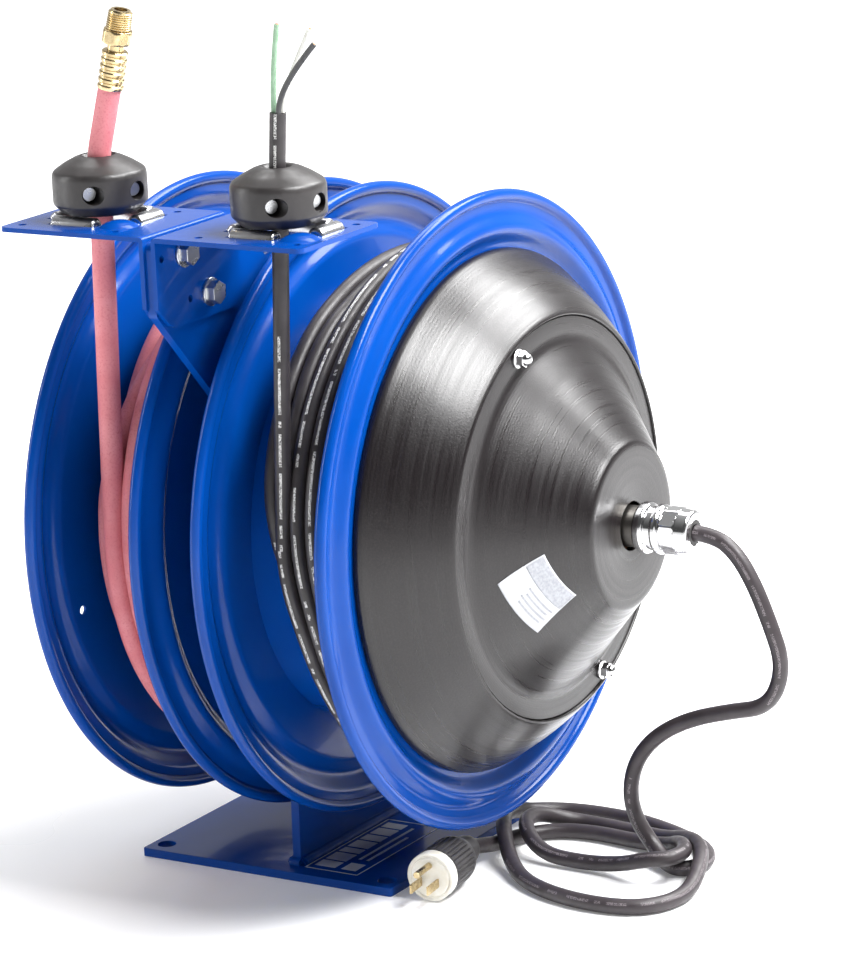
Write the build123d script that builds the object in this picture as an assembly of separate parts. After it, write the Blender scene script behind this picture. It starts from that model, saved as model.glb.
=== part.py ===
"""Dual spring-rewind reel: an air-hose reel and a power-cord reel, back to back on one post.

Frame: millimetres, +Z up, +X along the reel axis towards the cord grip, -Y to the front (the
side where hose and cord rise to their guides). The origin is the centre of the base plate's
bottom face.
"""
import os
from math import asin, atan2, cos, pi, radians, sin, sqrt, tan

from build123d import *

# Base and post
BASE_LENGTH = 209.0
BASE_DEPTH = 200.0
BASE_THICKNESS = 6.35
BASE_HOLE_RADIUS = 6.5
BASE_HOLE_SPACING_X = 186.0
BASE_HOLE_SPACING_Y = 172.0
POST_X = 16.4
POST_THICKNESS = 6.4
AXIS_HEIGHT = 255.0
WELD_LEG = 5.0

# Flanges: one pressing, used four times. Places are the middle of each sheet.
FLANGE_RADIUS = 222.25
BEAD_RADIUS = 4.25
SHEET = 2.0
HOSE_OUTER_X = -95.0
HOSE_INNER_X = -8.75
CORD_INNER_X = 40.8
CORD_OUTER_X = 138.0
PEEP_HOLE_RADIUS = 3.25
PEEP_HOLE_CIRCLE = 173.8
PEEP_HOLE_AT = 197.75

# Axle, hubs and barrels
AXLE_RADIUS = 14.25
RUNNING_CLEARANCE = 0.05
BUSHING_RADIUS = 19.0
HUB_RADIUS = 24.0
HUB_LENGTH = 22.0
HUB_DISC_RADIUS = 52.0
HUB_DISC_THICKNESS = 4.0
RATCHET_RADIUS = 58.0
RATCHET_TEETH = 12
RATCHET_THICKNESS = 4.0
RATCHET_PHASE = -18.0
AXLE_FLANGE_RADIUS = 46.0
AXLE_FLANGE_THICKNESS = 6.0
AXLE_BOLT_CIRCLE = 34.0
BARREL_WALL = 3.0
HOSE_BARREL_RADIUS = 105.0
CORD_BARREL_RADIUS = 155.0
DRUM_BOLTS = 6

# Hose and cords
HOSE_RADIUS = 7.75
CORD_RADIUS = 5.5
HOSE_WIND_RADIUS = 179.0
CORD_WIND_RADIUS = 187.0
HOSE_GUIDE_X = -53.0
CORD_GUIDE_X = 89.5
GUIDE_Y = -170.0
WIND_GAP = 0.5

# Guide brackets, rollers and stoppers
GUIDE_TOP = 480.0
BRACKET_SHEET = 3.2
BRACKET_REACH = 116.5
BRACKET_FRONT = -218.0
BRACKET_BACK = -122.0
BRACKET_LEG_BOTTOM = 417.0
ROLLER_RADIUS = 6.35
ROLLER_BORE = 1.57
PIN_RADIUS = 1.5
PIN_OVERHANG = 5.0
SLOT_CLEARANCE = 1.0
STOPPER_RADIUS = 31.75
STOPPER_BOTTOM = 485.2
STOPPER_TOP = 523.5
STOPPER_SCREW_OFFSET = 15.7

# Spring cases, slip ring and cover
HOSE_CASE_RADIUS = 130.0
HOSE_CASE_DEPTH = 45.0
PAN_BASE_RADIUS = 182.5
PAN_SHOULDER_RADIUS = 145.0
PAN_SHOULDER_X = 191.0
COVER_BASE_RADIUS = 120.0
COVER_FACE_RADIUS = 57.5
COVER_FACE_X = 249.0
COVER_NUT_CIRCLE = 132.0
COVER_NUT_ANGLE = 112.0
SHAFT_HOLE_RADIUS = 16.6
SPRING_STRIP = 1.4
SPRING_PITCH = 5.6
SPRING_TURNS = 16

# Cord grip
GRIP_X = 256.5
GRIP_LENGTH = 40.5

# Plug
PLUG_RADIUS = 17.6
PLUG_BACK = (127.0, -30.0, 18.0)
PLUG_HEADING = (7.0, -60.0)
PLUG_GAP = 2.0

# Route of the input cord: the middle of the cord, from the grip to the plug
CORD_ROUTE = [
    (297, 0, 255), (313, 0, 254), (327, 0, 244), (339, 0, 226), (350, 1, 199), (360, 2, 168),
    (348, 3, 138), (315, 5, 130), (284, 8, 120), (256, 12, 104), (236, 17, 82), (226, 24, 55),
    (226, 33, 31), (239, 35, 12), (261, 24, 5.7), (285, 28, 5.7), (296, 49, 5.7), (285, 72, 5.7),
    (258, 84, 5.7), (227, 90, 5.7), (195, 97, 5.7), (162, 101, 5.7), (131, 97, 6), (111, 74, 10),
    (113, 42, 19), (132, 8, 20), (153, -20, 9), (177, -44, 5.7), (207, -60, 5.7), (240, -67, 5.7),
    (272, -64, 5.7), (295, -44, 5.7), (304, -14, 5.7), (303, 15, 13), (292, 42, 19), (269, 59, 17),
    (241, 68, 9), (210, 74, 5.7), (178, 78, 5.7), (150, 74, 8), (133, 50, 19), (141, 20, 20),
    (165, 3, 8), (196, 3, 5.7), (228, 1, 9), (254, -7, 19), (275, 3, 20), (280, 24, 20),
    (265, 42, 18), (238, 52, 8), (208, 58, 5.7), (178, 62, 5.7), (150, 57, 5.7), (130, 36, 5.7),
    (126, 5, 7.5), (127, -30, 18),
]
ARC_SHARE = 0.45

AXIS = Axis((0, 0, AXIS_HEIGHT), (1, 0, 0))


def write(name, shape):
    """Save one named piece."""
    export_step(shape, "parts/" + name + ".step")


def at_axis(x, radius, angle=90.0):
    """Return a point at this distance and angle round the reel axis."""
    turn = radians(angle)
    return (x, radius * cos(turn), AXIS_HEIGHT + radius * sin(turn))


def lathe(outline):
    """Turn a closed outline of (x, radius) points round the reel axis."""
    points = [at_axis(x, radius) for x, radius in outline]
    face = Face(Wire.make_polygon(points, close=True))
    return revolve(face, AXIS)


def tube_x(outer, inner, start, end):
    """Return a ring about the reel axis from one X to another."""
    return lathe([(start, inner), (end, inner), (end, outer), (start, outer)])


def rod(start, end, radius):
    """Return a round bar between two points."""
    heading = Vector(*end) - Vector(*start)
    return Solid.make_cylinder(radius, heading.length, Plane(origin=start, z_dir=heading))


def hexagon(start, end, across_flats):
    """Return a hexagonal bar between two points."""
    heading = Vector(*end) - Vector(*start)
    plane = Plane(origin=start, z_dir=heading)
    face = plane * RegularPolygon(across_flats / 2, 6, major_radius=False)
    return extrude(face, heading.length, dir=heading.normalized())


def group(solids):
    """Return separate solids as one node."""
    return Compound(children=list(solids))


def upright(outline, x, thickness):
    """Return a plate in the YZ plane, centred on x, from (y, z) points."""
    low = x - thickness / 2
    face = Face(Wire.make_polygon([(low, y, z) for y, z in outline], close=True))
    return extrude(face, thickness, dir=(1, 0, 0))


# ---------------------------------------------------------------- base and post


def make_base_plate():
    """Return the flat base plate with its four mounting holes."""
    plate = Pos(0, 0, BASE_THICKNESS / 2) * Box(BASE_LENGTH, BASE_DEPTH, BASE_THICKNESS)
    plate = fillet(plate.edges().filter_by(Axis.Z), 2.0)
    for x in (-BASE_HOLE_SPACING_X / 2, BASE_HOLE_SPACING_X / 2):
        for y in (-BASE_HOLE_SPACING_Y / 2, BASE_HOLE_SPACING_Y / 2):
            plate -= Pos(x, y, 0) * Cylinder(BASE_HOLE_RADIUS, 3 * BASE_THICKNESS)
    return plate


POST_HALF_WIDTH = 83.0
POST_OUTLINE = [
    (-POST_HALF_WIDTH, BASE_THICKNESS),
    (POST_HALF_WIDTH, BASE_THICKNESS),
    (70.0, 255.0),
    (44.0, 322.0),
    (BRACKET_BACK + 2, 476.0),
    (BRACKET_FRONT + 2, 476.0),
    (BRACKET_FRONT + 2, 427.0),
    (-76.0, 276.0),
]
PAWL_PIVOT_Y = -66.0
PAWL_PIVOT_Z = AXIS_HEIGHT + 14.0
PAWL_PIN_RADIUS = 4.0


def bracket_bolt_places():
    """Return the (y, z) centres of the two bolts that hold both guide brackets."""
    return [(-186.0, 464.5), (-158.0, 433.0)]


def axle_bolt_places():
    """Return the angles of the four bolts through both axle flanges."""
    return [45.0, 135.0, 225.0, 315.0]


def inner_face_x(side):
    """Return the outside face of the inner flange's hub disc on one side of the post."""
    sheet_x = HOSE_INNER_X if side < 0 else CORD_INNER_X
    return sheet_x - side * (SHEET / 2 + HUB_DISC_THICKNESS)


def make_support_post():
    """Return the post plate with its foot welds and the two pawl pins."""
    post = upright(POST_OUTLINE, POST_X, POST_THICKNESS)
    front_corner = post.edges().filter_by(Axis.X).sort_by(Axis.Y)[:2]
    post = fillet(front_corner, 6.0)
    for side in (-1, 1):
        face_x = POST_X + side * POST_THICKNESS / 2
        weld = Face(
            Wire.make_polygon(
                [
                    (face_x, -POST_HALF_WIDTH, BASE_THICKNESS),
                    (face_x + side * WELD_LEG, -POST_HALF_WIDTH, BASE_THICKNESS),
                    (face_x, -POST_HALF_WIDTH, BASE_THICKNESS + WELD_LEG),
                ],
                close=True,
            )
        )
        post += extrude(weld, 2 * POST_HALF_WIDTH, dir=(0, 1, 0))
        pin_end = inner_face_x(side) - side * 0.3
        post += rod(
            (face_x, PAWL_PIVOT_Y, PAWL_PIVOT_Z),
            (pin_end, PAWL_PIVOT_Y, PAWL_PIVOT_Z),
            PAWL_PIN_RADIUS,
        )
    for y, z in bracket_bolt_places():
        post -= rod((POST_X - 10, y, z), (POST_X + 10, y, z), 4.6)
    for angle in axle_bolt_places():
        start = at_axis(POST_X - 10, AXLE_BOLT_CIRCLE, angle)
        end = at_axis(POST_X + 10, AXLE_BOLT_CIRCLE, angle)
        post -= rod(start, end, 5.1)
    return post


# ---------------------------------------------------------------- guide brackets


def roller_layout(guide_x):
    """Return each guide roller's name, centre, direction and length."""
    height = GUIDE_TOP - BRACKET_SHEET / 2
    return [
        ("front", (guide_x - 5.5, GUIDE_Y - 22.0, height), (1, 0), 35.0),
        ("back", (guide_x + 1.0, GUIDE_Y + 27.0, height), (1, 0), 42.0),
        ("left", (guide_x - 29.0, GUIDE_Y + 4.0, height), (0, 1), 32.0),
        ("right", (guide_x + 29.0, GUIDE_Y + 10.0, height), (0, 1), 28.0),
    ]


def along(centre, heading, distance):
    """Return the point this far along a level heading."""
    return (centre[0] + heading[0] * distance, centre[1] + heading[1] * distance, centre[2])


def make_guide_bracket(side, guide_x):
    """Return one L-shaped bracket: a level guide plate and a leg against the post."""
    wall = POST_X + side * POST_THICKNESS / 2
    far = wall + side * BRACKET_REACH
    depth = BRACKET_BACK - BRACKET_FRONT
    middle_y = (BRACKET_BACK + BRACKET_FRONT) / 2
    level = GUIDE_TOP - BRACKET_SHEET / 2
    plate = Pos((wall + far) / 2, middle_y, level) * Box(BRACKET_REACH, depth, BRACKET_SHEET)
    far_corners = plate.edges().filter_by(Axis.Z).sort_by(Axis.X)
    plate = fillet(far_corners[:2] if side < 0 else far_corners[-2:], 5.0)
    leg_outline = [
        (BRACKET_FRONT, GUIDE_TOP),
        (BRACKET_FRONT, 432.0),
        (BRACKET_FRONT + 12, BRACKET_LEG_BOTTOM + 3),
        (BRACKET_FRONT + 18, BRACKET_LEG_BOTTOM),
        (BRACKET_BACK, BRACKET_LEG_BOTTOM),
        (BRACKET_BACK, GUIDE_TOP),
    ]
    leg_x = wall + side * BRACKET_SHEET / 2
    bracket = plate + upright(leg_outline, leg_x, BRACKET_SHEET)
    outer_bend = bracket.edges().filter_by(Axis.Y).filter_by(
        lambda edge: abs(edge.center().X - wall) < 0.01 and abs(edge.center().Z - GUIDE_TOP) < 0.01
    )
    bracket = fillet(outer_bend, 3.0)
    # Window for the hose or cord, and a slot round each roller
    bracket -= Pos(guide_x, GUIDE_Y + 2.5, level) * Box(46, 36, 3 * BRACKET_SHEET)
    for _, centre, heading, length in roller_layout(guide_x):
        long = length + 2 * SLOT_CLEARANCE
        wide = 2 * (ROLLER_RADIUS + SLOT_CLEARANCE)
        size = (long, wide) if heading[0] else (wide, long)
        bracket -= Pos(*centre) * Box(size[0], size[1], 3 * BRACKET_SHEET)
    for _, centre, heading, length in roller_layout(guide_x):
        reach = length / 2 + PIN_OVERHANG
        bracket -= rod(along(centre, heading, -reach), along(centre, heading, reach), PIN_RADIUS)
    # Pressed dome over the corner where the front and right rollers meet
    dome_height = 4.2
    dome_reach = 13.5
    ball = (dome_reach**2 + dome_height**2) / (2 * dome_height)
    dome_at = (guide_x + 27.5, GUIDE_Y - 19.0)
    dome = Pos(dome_at[0], dome_at[1], GUIDE_TOP - ball + dome_height) * Sphere(ball)
    dome &= Pos(dome_at[0], dome_at[1], GUIDE_TOP + 10) * Box(60, 60, 20)
    bracket += dome
    # Corner holes
    for x in (far - side * 11, wall + side * 30):
        for y in (BRACKET_FRONT + 12, BRACKET_BACK - 12):
            bracket -= Pos(x, y, level) * Cylinder(2.8, 3 * BRACKET_SHEET)
    holes = bracket_bolt_places() + [(-211.0, 465.0), (-181.0, 433.0)]
    for index, (y, z) in enumerate(holes):
        radius = 4.6 if index < 2 else 2.5
        bracket -= rod((wall - side, y, z), (wall + side * 6, y, z), radius)
    return bracket


def make_roller_pins():
    """Return the eight pins, fixed in the brackets, that the rollers turn on."""
    pins = []
    for guide_x in (HOSE_GUIDE_X, CORD_GUIDE_X):
        for _, centre, heading, length in roller_layout(guide_x):
            reach = length / 2 + PIN_OVERHANG
            pins.append(rod(along(centre, heading, -reach), along(centre, heading, reach), PIN_RADIUS))
    return group(pins)


def make_roller(centre, heading, length):
    """Return one guide roller with chamfered ends and a running bore."""
    start = along(centre, heading, -length / 2)
    end = along(centre, heading, length / 2)
    roller = rod(start, end, ROLLER_RADIUS)
    roller = chamfer(roller.edges().filter_by(GeomType.CIRCLE), 1.4)
    return roller - rod(start, end, ROLLER_BORE)


def make_frame_fasteners():
    """Return the bracket bolts and axle flange bolts with their nuts."""
    pieces = []
    for y, z in bracket_bolt_places():
        right = POST_X + POST_THICKNESS / 2 + BRACKET_SHEET
        left = POST_X - POST_THICKNESS / 2 - BRACKET_SHEET
        shank = rod((left - 10, y, z), (right, y, z), 4.5)
        washer = rod((right, y, z), (right + 1.8, y, z), 9.6)
        head = hexagon((right + 1.8, y, z), (right + 8.0, y, z), 14.0)
        pieces.append(shank + washer + head)
        nut = hexagon((left - 7.5, y, z), (left, y, z), 14.0)
        pieces.append(nut - rod((left - 8, y, z), (left + 1, y, z), 4.5))
    left = POST_X - POST_THICKNESS / 2 - AXLE_FLANGE_THICKNESS
    right = POST_X + POST_THICKNESS / 2 + AXLE_FLANGE_THICKNESS
    for angle in axle_bolt_places():
        a, b, c, d = (at_axis(x, AXLE_BOLT_CIRCLE, angle) for x in (left - 5, left, right, right + 5))
        pieces.append(hexagon(a, b, 16.0) + rod(b, d, 5.0))
        pieces.append(hexagon(c, d, 16.0) - rod(c, d, 5.0))
    return group(pieces)


# ---------------------------------------------------------------- axles


ARBOR_RADIUS = 22.0
HOSE_AXLE_END = -172.0
AIR_BORE = 5.0
MANIFOLD_X = -52.0
CORD_BORE = 7.0
BRUSH_X = 234.0


def bolted_flange(side):
    """Return the axle's flange against the post, drilled for its four bolts."""
    wall = POST_X + side * POST_THICKNESS / 2
    face = wall + side * AXLE_FLANGE_THICKNESS
    disc = rod((wall, 0, AXIS_HEIGHT), (face, 0, AXIS_HEIGHT), AXLE_FLANGE_RADIUS)
    for angle in axle_bolt_places():
        start = at_axis(wall - side, AXLE_BOLT_CIRCLE, angle)
        end = at_axis(wall + side * 10, AXLE_BOLT_CIRCLE, angle)
        disc -= rod(start, end, 5.1)
    return disc


def make_hose_axle():
    """Return the fixed axle of the hose reel, with its arbor and air passage."""
    wall = POST_X - POST_THICKNESS / 2
    shaft = rod((wall, 0, AXIS_HEIGHT), (HOSE_AXLE_END, 0, AXIS_HEIGHT), AXLE_RADIUS)
    axle = bolted_flange(-1) + shaft
    arbor_end = HOSE_OUTER_X - HOSE_CASE_DEPTH + 2
    axle += tube_x(ARBOR_RADIUS, AXLE_RADIUS - 1, arbor_end, HOSE_OUTER_X - 10)
    axle -= rod((HOSE_AXLE_END - 1, 0, AXIS_HEIGHT), (MANIFOLD_X - 4, 0, AXIS_HEIGHT), AIR_BORE)
    axle -= rod((HOSE_AXLE_END - 1, 0, AXIS_HEIGHT), (HOSE_AXLE_END + 12, 0, AXIS_HEIGHT), 8.0)
    axle -= rod((MANIFOLD_X, 0, AXIS_HEIGHT), at_axis(MANIFOLD_X, 20), 4.0)
    axle -= rod((MANIFOLD_X - 6, 0, AXIS_HEIGHT), (MANIFOLD_X + 4, 0, AXIS_HEIGHT), AIR_BORE)
    return axle


def make_cord_axle():
    """Return the fixed axle of the cord reel, with its arbor and cord passage."""
    wall = POST_X + POST_THICKNESS / 2
    axle = bolted_flange(1) + rod((wall, 0, AXIS_HEIGHT), (GRIP_X, 0, AXIS_HEIGHT), AXLE_RADIUS)
    axle += tube_x(ARBOR_RADIUS, AXLE_RADIUS - 1, CORD_OUTER_X + 10, PAN_SHOULDER_X - 8)
    axle -= rod((BRUSH_X - 6, 0, AXIS_HEIGHT), (GRIP_X + 1, 0, AXIS_HEIGHT), CORD_BORE)
    axle -= rod((BRUSH_X, 0, AXIS_HEIGHT), at_axis(BRUSH_X, 20, 270), 4.0)
    return axle


def make_air_inlet_fitting():
    """Return the threaded brass inlet in the end of the hose axle."""
    end = HOSE_AXLE_END
    fitting = rod((end + 12, 0, AXIS_HEIGHT), (end, 0, AXIS_HEIGHT), 8.0)
    fitting += hexagon((end, 0, AXIS_HEIGHT), (end - 9, 0, AXIS_HEIGHT), 22.0)
    fitting += rod((end - 9, 0, AXIS_HEIGHT), (end - 26, 0, AXIS_HEIGHT), 8.5)
    fitting -= rod((end + 13, 0, AXIS_HEIGHT), (end - 27, 0, AXIS_HEIGHT), AIR_BORE)
    return fitting


# ---------------------------------------------------------------- drums


def make_flange(sheet_x, outward):
    """Return a pressed flange: flat disc, raised rim ring and rolled bead."""
    inside = sheet_x - outward * SHEET / 2

    def face_line(lift):
        disc = [(lift, HUB_RADIUS), (lift, 183.5)]
        ring = [(lift + 3.6, 187.6), (lift + 5.4, 191.5), (lift + 5.8, 197.0)]
        rim = [(lift + 4.2, 202.5), (lift + 0.8, 206.5), (lift, 209.0), (lift, 216.0)]
        return disc + ring + rim

    outline = face_line(0.0) + face_line(SHEET)[::-1]
    flange = lathe([(inside + outward * lift, radius) for lift, radius in outline])
    middle = FLANGE_RADIUS - BEAD_RADIUS
    bead = Plane(origin=(sheet_x, 0, AXIS_HEIGHT), z_dir=(1, 0, 0)) * Torus(middle, BEAD_RADIUS)
    return flange + bead


def drill_ring(body, x, radius, count, hole, first=0.0):
    """Drill a ring of holes through a body about the reel axis."""
    for index in range(count):
        angle = first + 360.0 * index / count
        body -= rod(at_axis(x - 12, radius, angle), at_axis(x + 12, radius, angle), hole)
    return body


def make_barrel(radius, start, end):
    """Return a drum barrel: a tube with a drilled lip at each end."""
    barrel = tube_x(radius, radius - BARREL_WALL, start, end)
    for low, high in ((start, start + 3.0), (end - 3.0, end)):
        lip = tube_x(radius - 1, radius - 22, low, high)
        barrel += drill_ring(lip, (low + high) / 2, radius - 12, DRUM_BOLTS, 3.1)
    return barrel


def ratchet_outline():
    """Return the tooth outline of the ratchet rim as (y, z) points."""
    points = []
    step = 360.0 / RATCHET_TEETH
    for tooth in range(RATCHET_TEETH):
        start = RATCHET_PHASE + tooth * step
        points.append(at_axis(0, RATCHET_RADIUS, start)[1:])
        points.append(at_axis(0, RATCHET_RADIUS, start + 0.55 * step)[1:])
        points.append(at_axis(0, RATCHET_RADIUS - 6, start + 0.65 * step)[1:])
        points.append(at_axis(0, RATCHET_RADIUS - 6, start + 0.9 * step)[1:])
    return points


def make_hubs(side, inner_x, outer_x):
    """Return the inner hub with its ratchet rim, and the outer hub."""
    hubs = []
    for sheet_x, outward, ratchet in ((inner_x, -side, True), (outer_x, side, False)):
        face = sheet_x + outward * SHEET / 2
        disc_end = face + outward * HUB_DISC_THICKNESS
        inside = face - outward * HUB_LENGTH
        tube = tube_x(HUB_RADIUS, BUSHING_RADIUS, min(inside, disc_end), max(inside, disc_end))
        disc = tube_x(HUB_DISC_RADIUS, HUB_RADIUS - 1, min(face, disc_end), max(face, disc_end))
        hub = tube + drill_ring(disc, face, 40.0, 4, 3.1)
        if ratchet:
            middle = disc_end + outward * RATCHET_THICKNESS / 2
            rim = upright(ratchet_outline(), middle, RATCHET_THICKNESS)
            bore = rod((disc_end - 20, 0, AXIS_HEIGHT), (disc_end + 20, 0, AXIS_HEIGHT), 47.5)
            hub += rim - bore
        hubs.append(hub)
    return group(hubs)


def make_bushings(side, inner_x, outer_x):
    """Return the two bronze bushings that a drum turns on."""
    bushings = []
    for sheet_x, outward in ((inner_x, -side), (outer_x, side)):
        face = sheet_x + outward * (SHEET / 2 + HUB_DISC_THICKNESS)
        inside = face - outward * (HUB_LENGTH + HUB_DISC_THICKNESS)
        bore = AXLE_RADIUS + RUNNING_CLEARANCE
        bushings.append(tube_x(BUSHING_RADIUS, bore, min(inside, face), max(inside, face)))
    return group(bushings)


def make_drum_bolts(side, inner_x, outer_x, barrel_radius):
    """Return the screws that hold hubs and barrel to both flanges."""
    bolts = []
    for sheet_x, outward in ((inner_x, -side), (outer_x, side)):
        face = sheet_x + outward * SHEET / 2
        rings = (
            (barrel_radius - 12, DRUM_BOLTS, face, SHEET + 5.0),
            (40.0, 4, face + outward * HUB_DISC_THICKNESS, SHEET + HUB_DISC_THICKNESS + 4.0),
        )
        for radius, count, seat, length in rings:
            low_head = 3.4
            for index in range(count):
                angle = 360.0 * index / count
                under = at_axis(seat, radius, angle)
                top = at_axis(seat + outward * low_head, radius, angle)
                tip = at_axis(seat - outward * length, radius, angle)
                bolts.append(hexagon(under, top, 10.0) + rod(under, tip, 3.0))
    return group(bolts)


def drill_flange(flange, sheet_x, barrel_radius):
    """Drill a flange for its barrel and hub screws."""
    flange = drill_ring(flange, sheet_x, barrel_radius - 12, DRUM_BOLTS, 3.1)
    return drill_ring(flange, sheet_x, 40.0, 4, 3.1)


def make_winding(start, end, inner, outer, lane_x, lane_half, lane_radius):
    """Return the wound coil as a ring, with the lane where the last turn leaves it."""
    return lathe(
        [
            (start, inner),
            (end, inner),
            (end, outer),
            (lane_x + lane_half, outer),
            (lane_x + lane_half, lane_radius),
            (lane_x - lane_half, lane_radius),
            (lane_x - lane_half, outer),
            (start, outer),
        ]
    )


def spiral_strip(first_radius, low_x, high_x):
    """Return a flat coiled spring strip, built from half turns of growing radius."""
    face_plane = Plane(origin=(low_x, 0, AXIS_HEIGHT), x_dir=(0, 1, 0), z_dir=(1, 0, 0))
    inner_edges = []
    outer_edges = []
    shift = 0.0
    for half in range(2 * SPRING_TURNS):
        radius = first_radius + half * SPRING_PITCH / 2
        sign = 1 if half % 2 == 0 else -1
        for edges, extra in ((inner_edges, 0.0), (outer_edges, SPRING_STRIP)):
            size = radius + extra
            a = (shift + sign * size, 0)
            b = (shift, sign * size)
            c = (shift - sign * size, 0)
            edges.append(ThreePointArc(a, b, c))
        shift += sign * SPRING_PITCH / 2
    caps = [
        Line(inner_edges[0] @ 0, outer_edges[0] @ 0),
        Line(inner_edges[-1] @ 1, outer_edges[-1] @ 1),
    ]
    wire = Wire([edge.edge() for edge in inner_edges + outer_edges + caps])
    return extrude(face_plane * Face(wire), high_x - low_x, dir=(1, 0, 0))


def make_hose_spring_case():
    """Return the round case over the hose reel's spring."""
    seat = HOSE_OUTER_X - SHEET / 2
    end = seat - HOSE_CASE_DEPTH
    radius = HOSE_CASE_RADIUS
    case = lathe(
        [
            (seat, radius + 12),
            (seat, radius - SHEET),
            (end + SHEET, radius - SHEET - 8),
            (end + SHEET, SHAFT_HOLE_RADIUS),
            (end, SHAFT_HOLE_RADIUS),
            (end, radius - 9),
            (end + 3, radius - 6),
            (seat - SHEET, radius),
            (seat - SHEET, radius + 12),
        ]
    )
    return case


def make_cord_spring_case():
    """Return the dished pan over the cord reel's spring."""
    seat = CORD_OUTER_X + SHEET / 2
    end = PAN_SHOULDER_X
    outside = [
        (seat, PAN_BASE_RADIUS),
        (seat + 4, PAN_BASE_RADIUS - 0.8),
        (seat + 9, PAN_BASE_RADIUS - 3.6),
        (end - 30, PAN_SHOULDER_RADIUS + 25.0),
        (end - 18, PAN_SHOULDER_RADIUS + 16.0),
        (end - 8, PAN_SHOULDER_RADIUS + 7.0),
        (end - 3, PAN_SHOULDER_RADIUS + 2.0),
        (end, PAN_SHOULDER_RADIUS - 3.0),
        (end, 98.0),
    ]
    inside = [
        (end - SHEET, 98.0),
        (end - SHEET, PAN_SHOULDER_RADIUS - 4.0),
        (end - 6, PAN_SHOULDER_RADIUS + 1.0),
        (end - 20, PAN_SHOULDER_RADIUS + 14.0),
        (end - 31, PAN_SHOULDER_RADIUS + 22.0),
        (seat + 9, PAN_BASE_RADIUS - 6.6),
        (seat + 3, PAN_BASE_RADIUS - 3.0),
        (seat, PAN_BASE_RADIUS - 2.4),
    ]
    pan = lathe(outside + inside)
    for angle in (COVER_NUT_ANGLE, COVER_NUT_ANGLE + 180):
        start = at_axis(end - 5, COVER_NUT_CIRCLE, angle)
        finish = at_axis(end + 5, COVER_NUT_CIRCLE, angle)
        pan -= rod(start, finish, 3.1)
    return pan


def make_slip_ring_cover():
    """Return the cone-shaped cover over the slip ring."""
    seat = PAN_SHOULDER_X
    base = COVER_BASE_RADIUS
    face = COVER_FACE_X
    flat = COVER_FACE_RADIUS
    outside = [
        (seat, PAN_SHOULDER_RADIUS - 4.0),
        (seat + SHEET, PAN_SHOULDER_RADIUS - 5.0),
        (seat + SHEET, base + 2.0),
        (seat + SHEET + 3.5, base - 2.0),
        (seat + 18, base - 17.5),
        (seat + 36, base - 38.5),
        (face - 8, flat + 7.0),
        (face - 2.5, flat + 1.0),
        (face, flat - 2.0),
        (face, SHAFT_HOLE_RADIUS),
    ]
    inside = [
        (face - SHEET, SHAFT_HOLE_RADIUS),
        (face - SHEET, flat - 3.0),
        (face - 9, flat + 4.5),
        (seat + 35, base - 40.5),
        (seat + 17, base - 19.5),
        (seat + 3.5, base - 5.0),
        (seat, base - 2.0),
    ]
    cover = lathe(outside + inside)
    for angle in (COVER_NUT_ANGLE, COVER_NUT_ANGLE + 180):
        start = at_axis(seat - 5, COVER_NUT_CIRCLE, angle)
        end = at_axis(seat + 5, COVER_NUT_CIRCLE, angle)
        cover -= rod(start, end, 3.1)
    return cover


def make_cover_nuts():
    """Return the two studs with washers and domed nuts that hold the cover."""
    pieces = []
    seat = PAN_SHOULDER_X + SHEET
    for angle in (COVER_NUT_ANGLE, COVER_NUT_ANGLE + 180):
        a, b, c, d = (
            at_axis(x, COVER_NUT_CIRCLE, angle) for x in (seat - 9, seat, seat + 1.2, seat + 6.5)
        )
        nut = rod(a, b, 3.0) + rod(b, c, 6.5) + hexagon(c, d, 10.0)
        pieces.append(nut + Pos(*d) * Sphere(4.6))
    return group(pieces)


def make_swivel_manifold():
    """Return the brass ring that turns on the axle and feeds the hose's inner end."""
    half = 12.0
    ring = tube_x(26.0, AXLE_RADIUS + RUNNING_CLEARANCE, MANIFOLD_X - half, MANIFOLD_X + half)
    ring -= tube_x(18.0, AXLE_RADIUS - 1, MANIFOLD_X - 4, MANIFOLD_X + 4)
    riser = rod(at_axis(MANIFOLD_X, 24), at_axis(MANIFOLD_X, HOSE_BARREL_RADIUS - 6), 7.0)
    bore = rod(at_axis(MANIFOLD_X, 15), at_axis(MANIFOLD_X, HOSE_BARREL_RADIUS - 5), 4.0)
    return ring + riser - bore


# ---------------------------------------------------------------- slip ring


RING_XS = (197.0, 207.0, 217.0)
ROTOR_RADIUS = 44.0
RING_RADIUS = 47.0


def make_slip_ring_rotor():
    """Return the insulating carrier that turns with the cord drum."""
    seat = PAN_SHOULDER_X - SHEET
    disc = tube_x(116.0, 30.0, seat - 3.0, seat)
    return disc + tube_x(ROTOR_RADIUS, 30.0, seat - 1.0, 226.0)


def make_slip_rings():
    """Return the three brass contact rings."""
    return group(tube_x(RING_RADIUS, ROTOR_RADIUS, x - 2, x + 2) for x in RING_XS)


def make_brush_holder():
    """Return the fixed arm on the axle with its three contacts."""
    collar = tube_x(24.0, AXLE_RADIUS, BRUSH_X - 3, BRUSH_X + 3)
    collar -= rod((BRUSH_X, 0, AXIS_HEIGHT), at_axis(BRUSH_X, 30, 270), 4.0)
    arm = Pos(BRUSH_X, 0, AXIS_HEIGHT + 39) * Box(6, 12, 38)
    bar = Pos((BRUSH_X + 195.0) / 2, 0, AXIS_HEIGHT + 54.5) * Box(BRUSH_X - 195.0 + 6, 12, 7)
    pieces = collar + arm + bar
    for x in RING_XS:
        pieces += Pos(x, 0, AXIS_HEIGHT + 49.3) * Box(3, 8, 4)
    return pieces


# ---------------------------------------------------------------- pawls


PAWL_THICKNESS = 3.0


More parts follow.
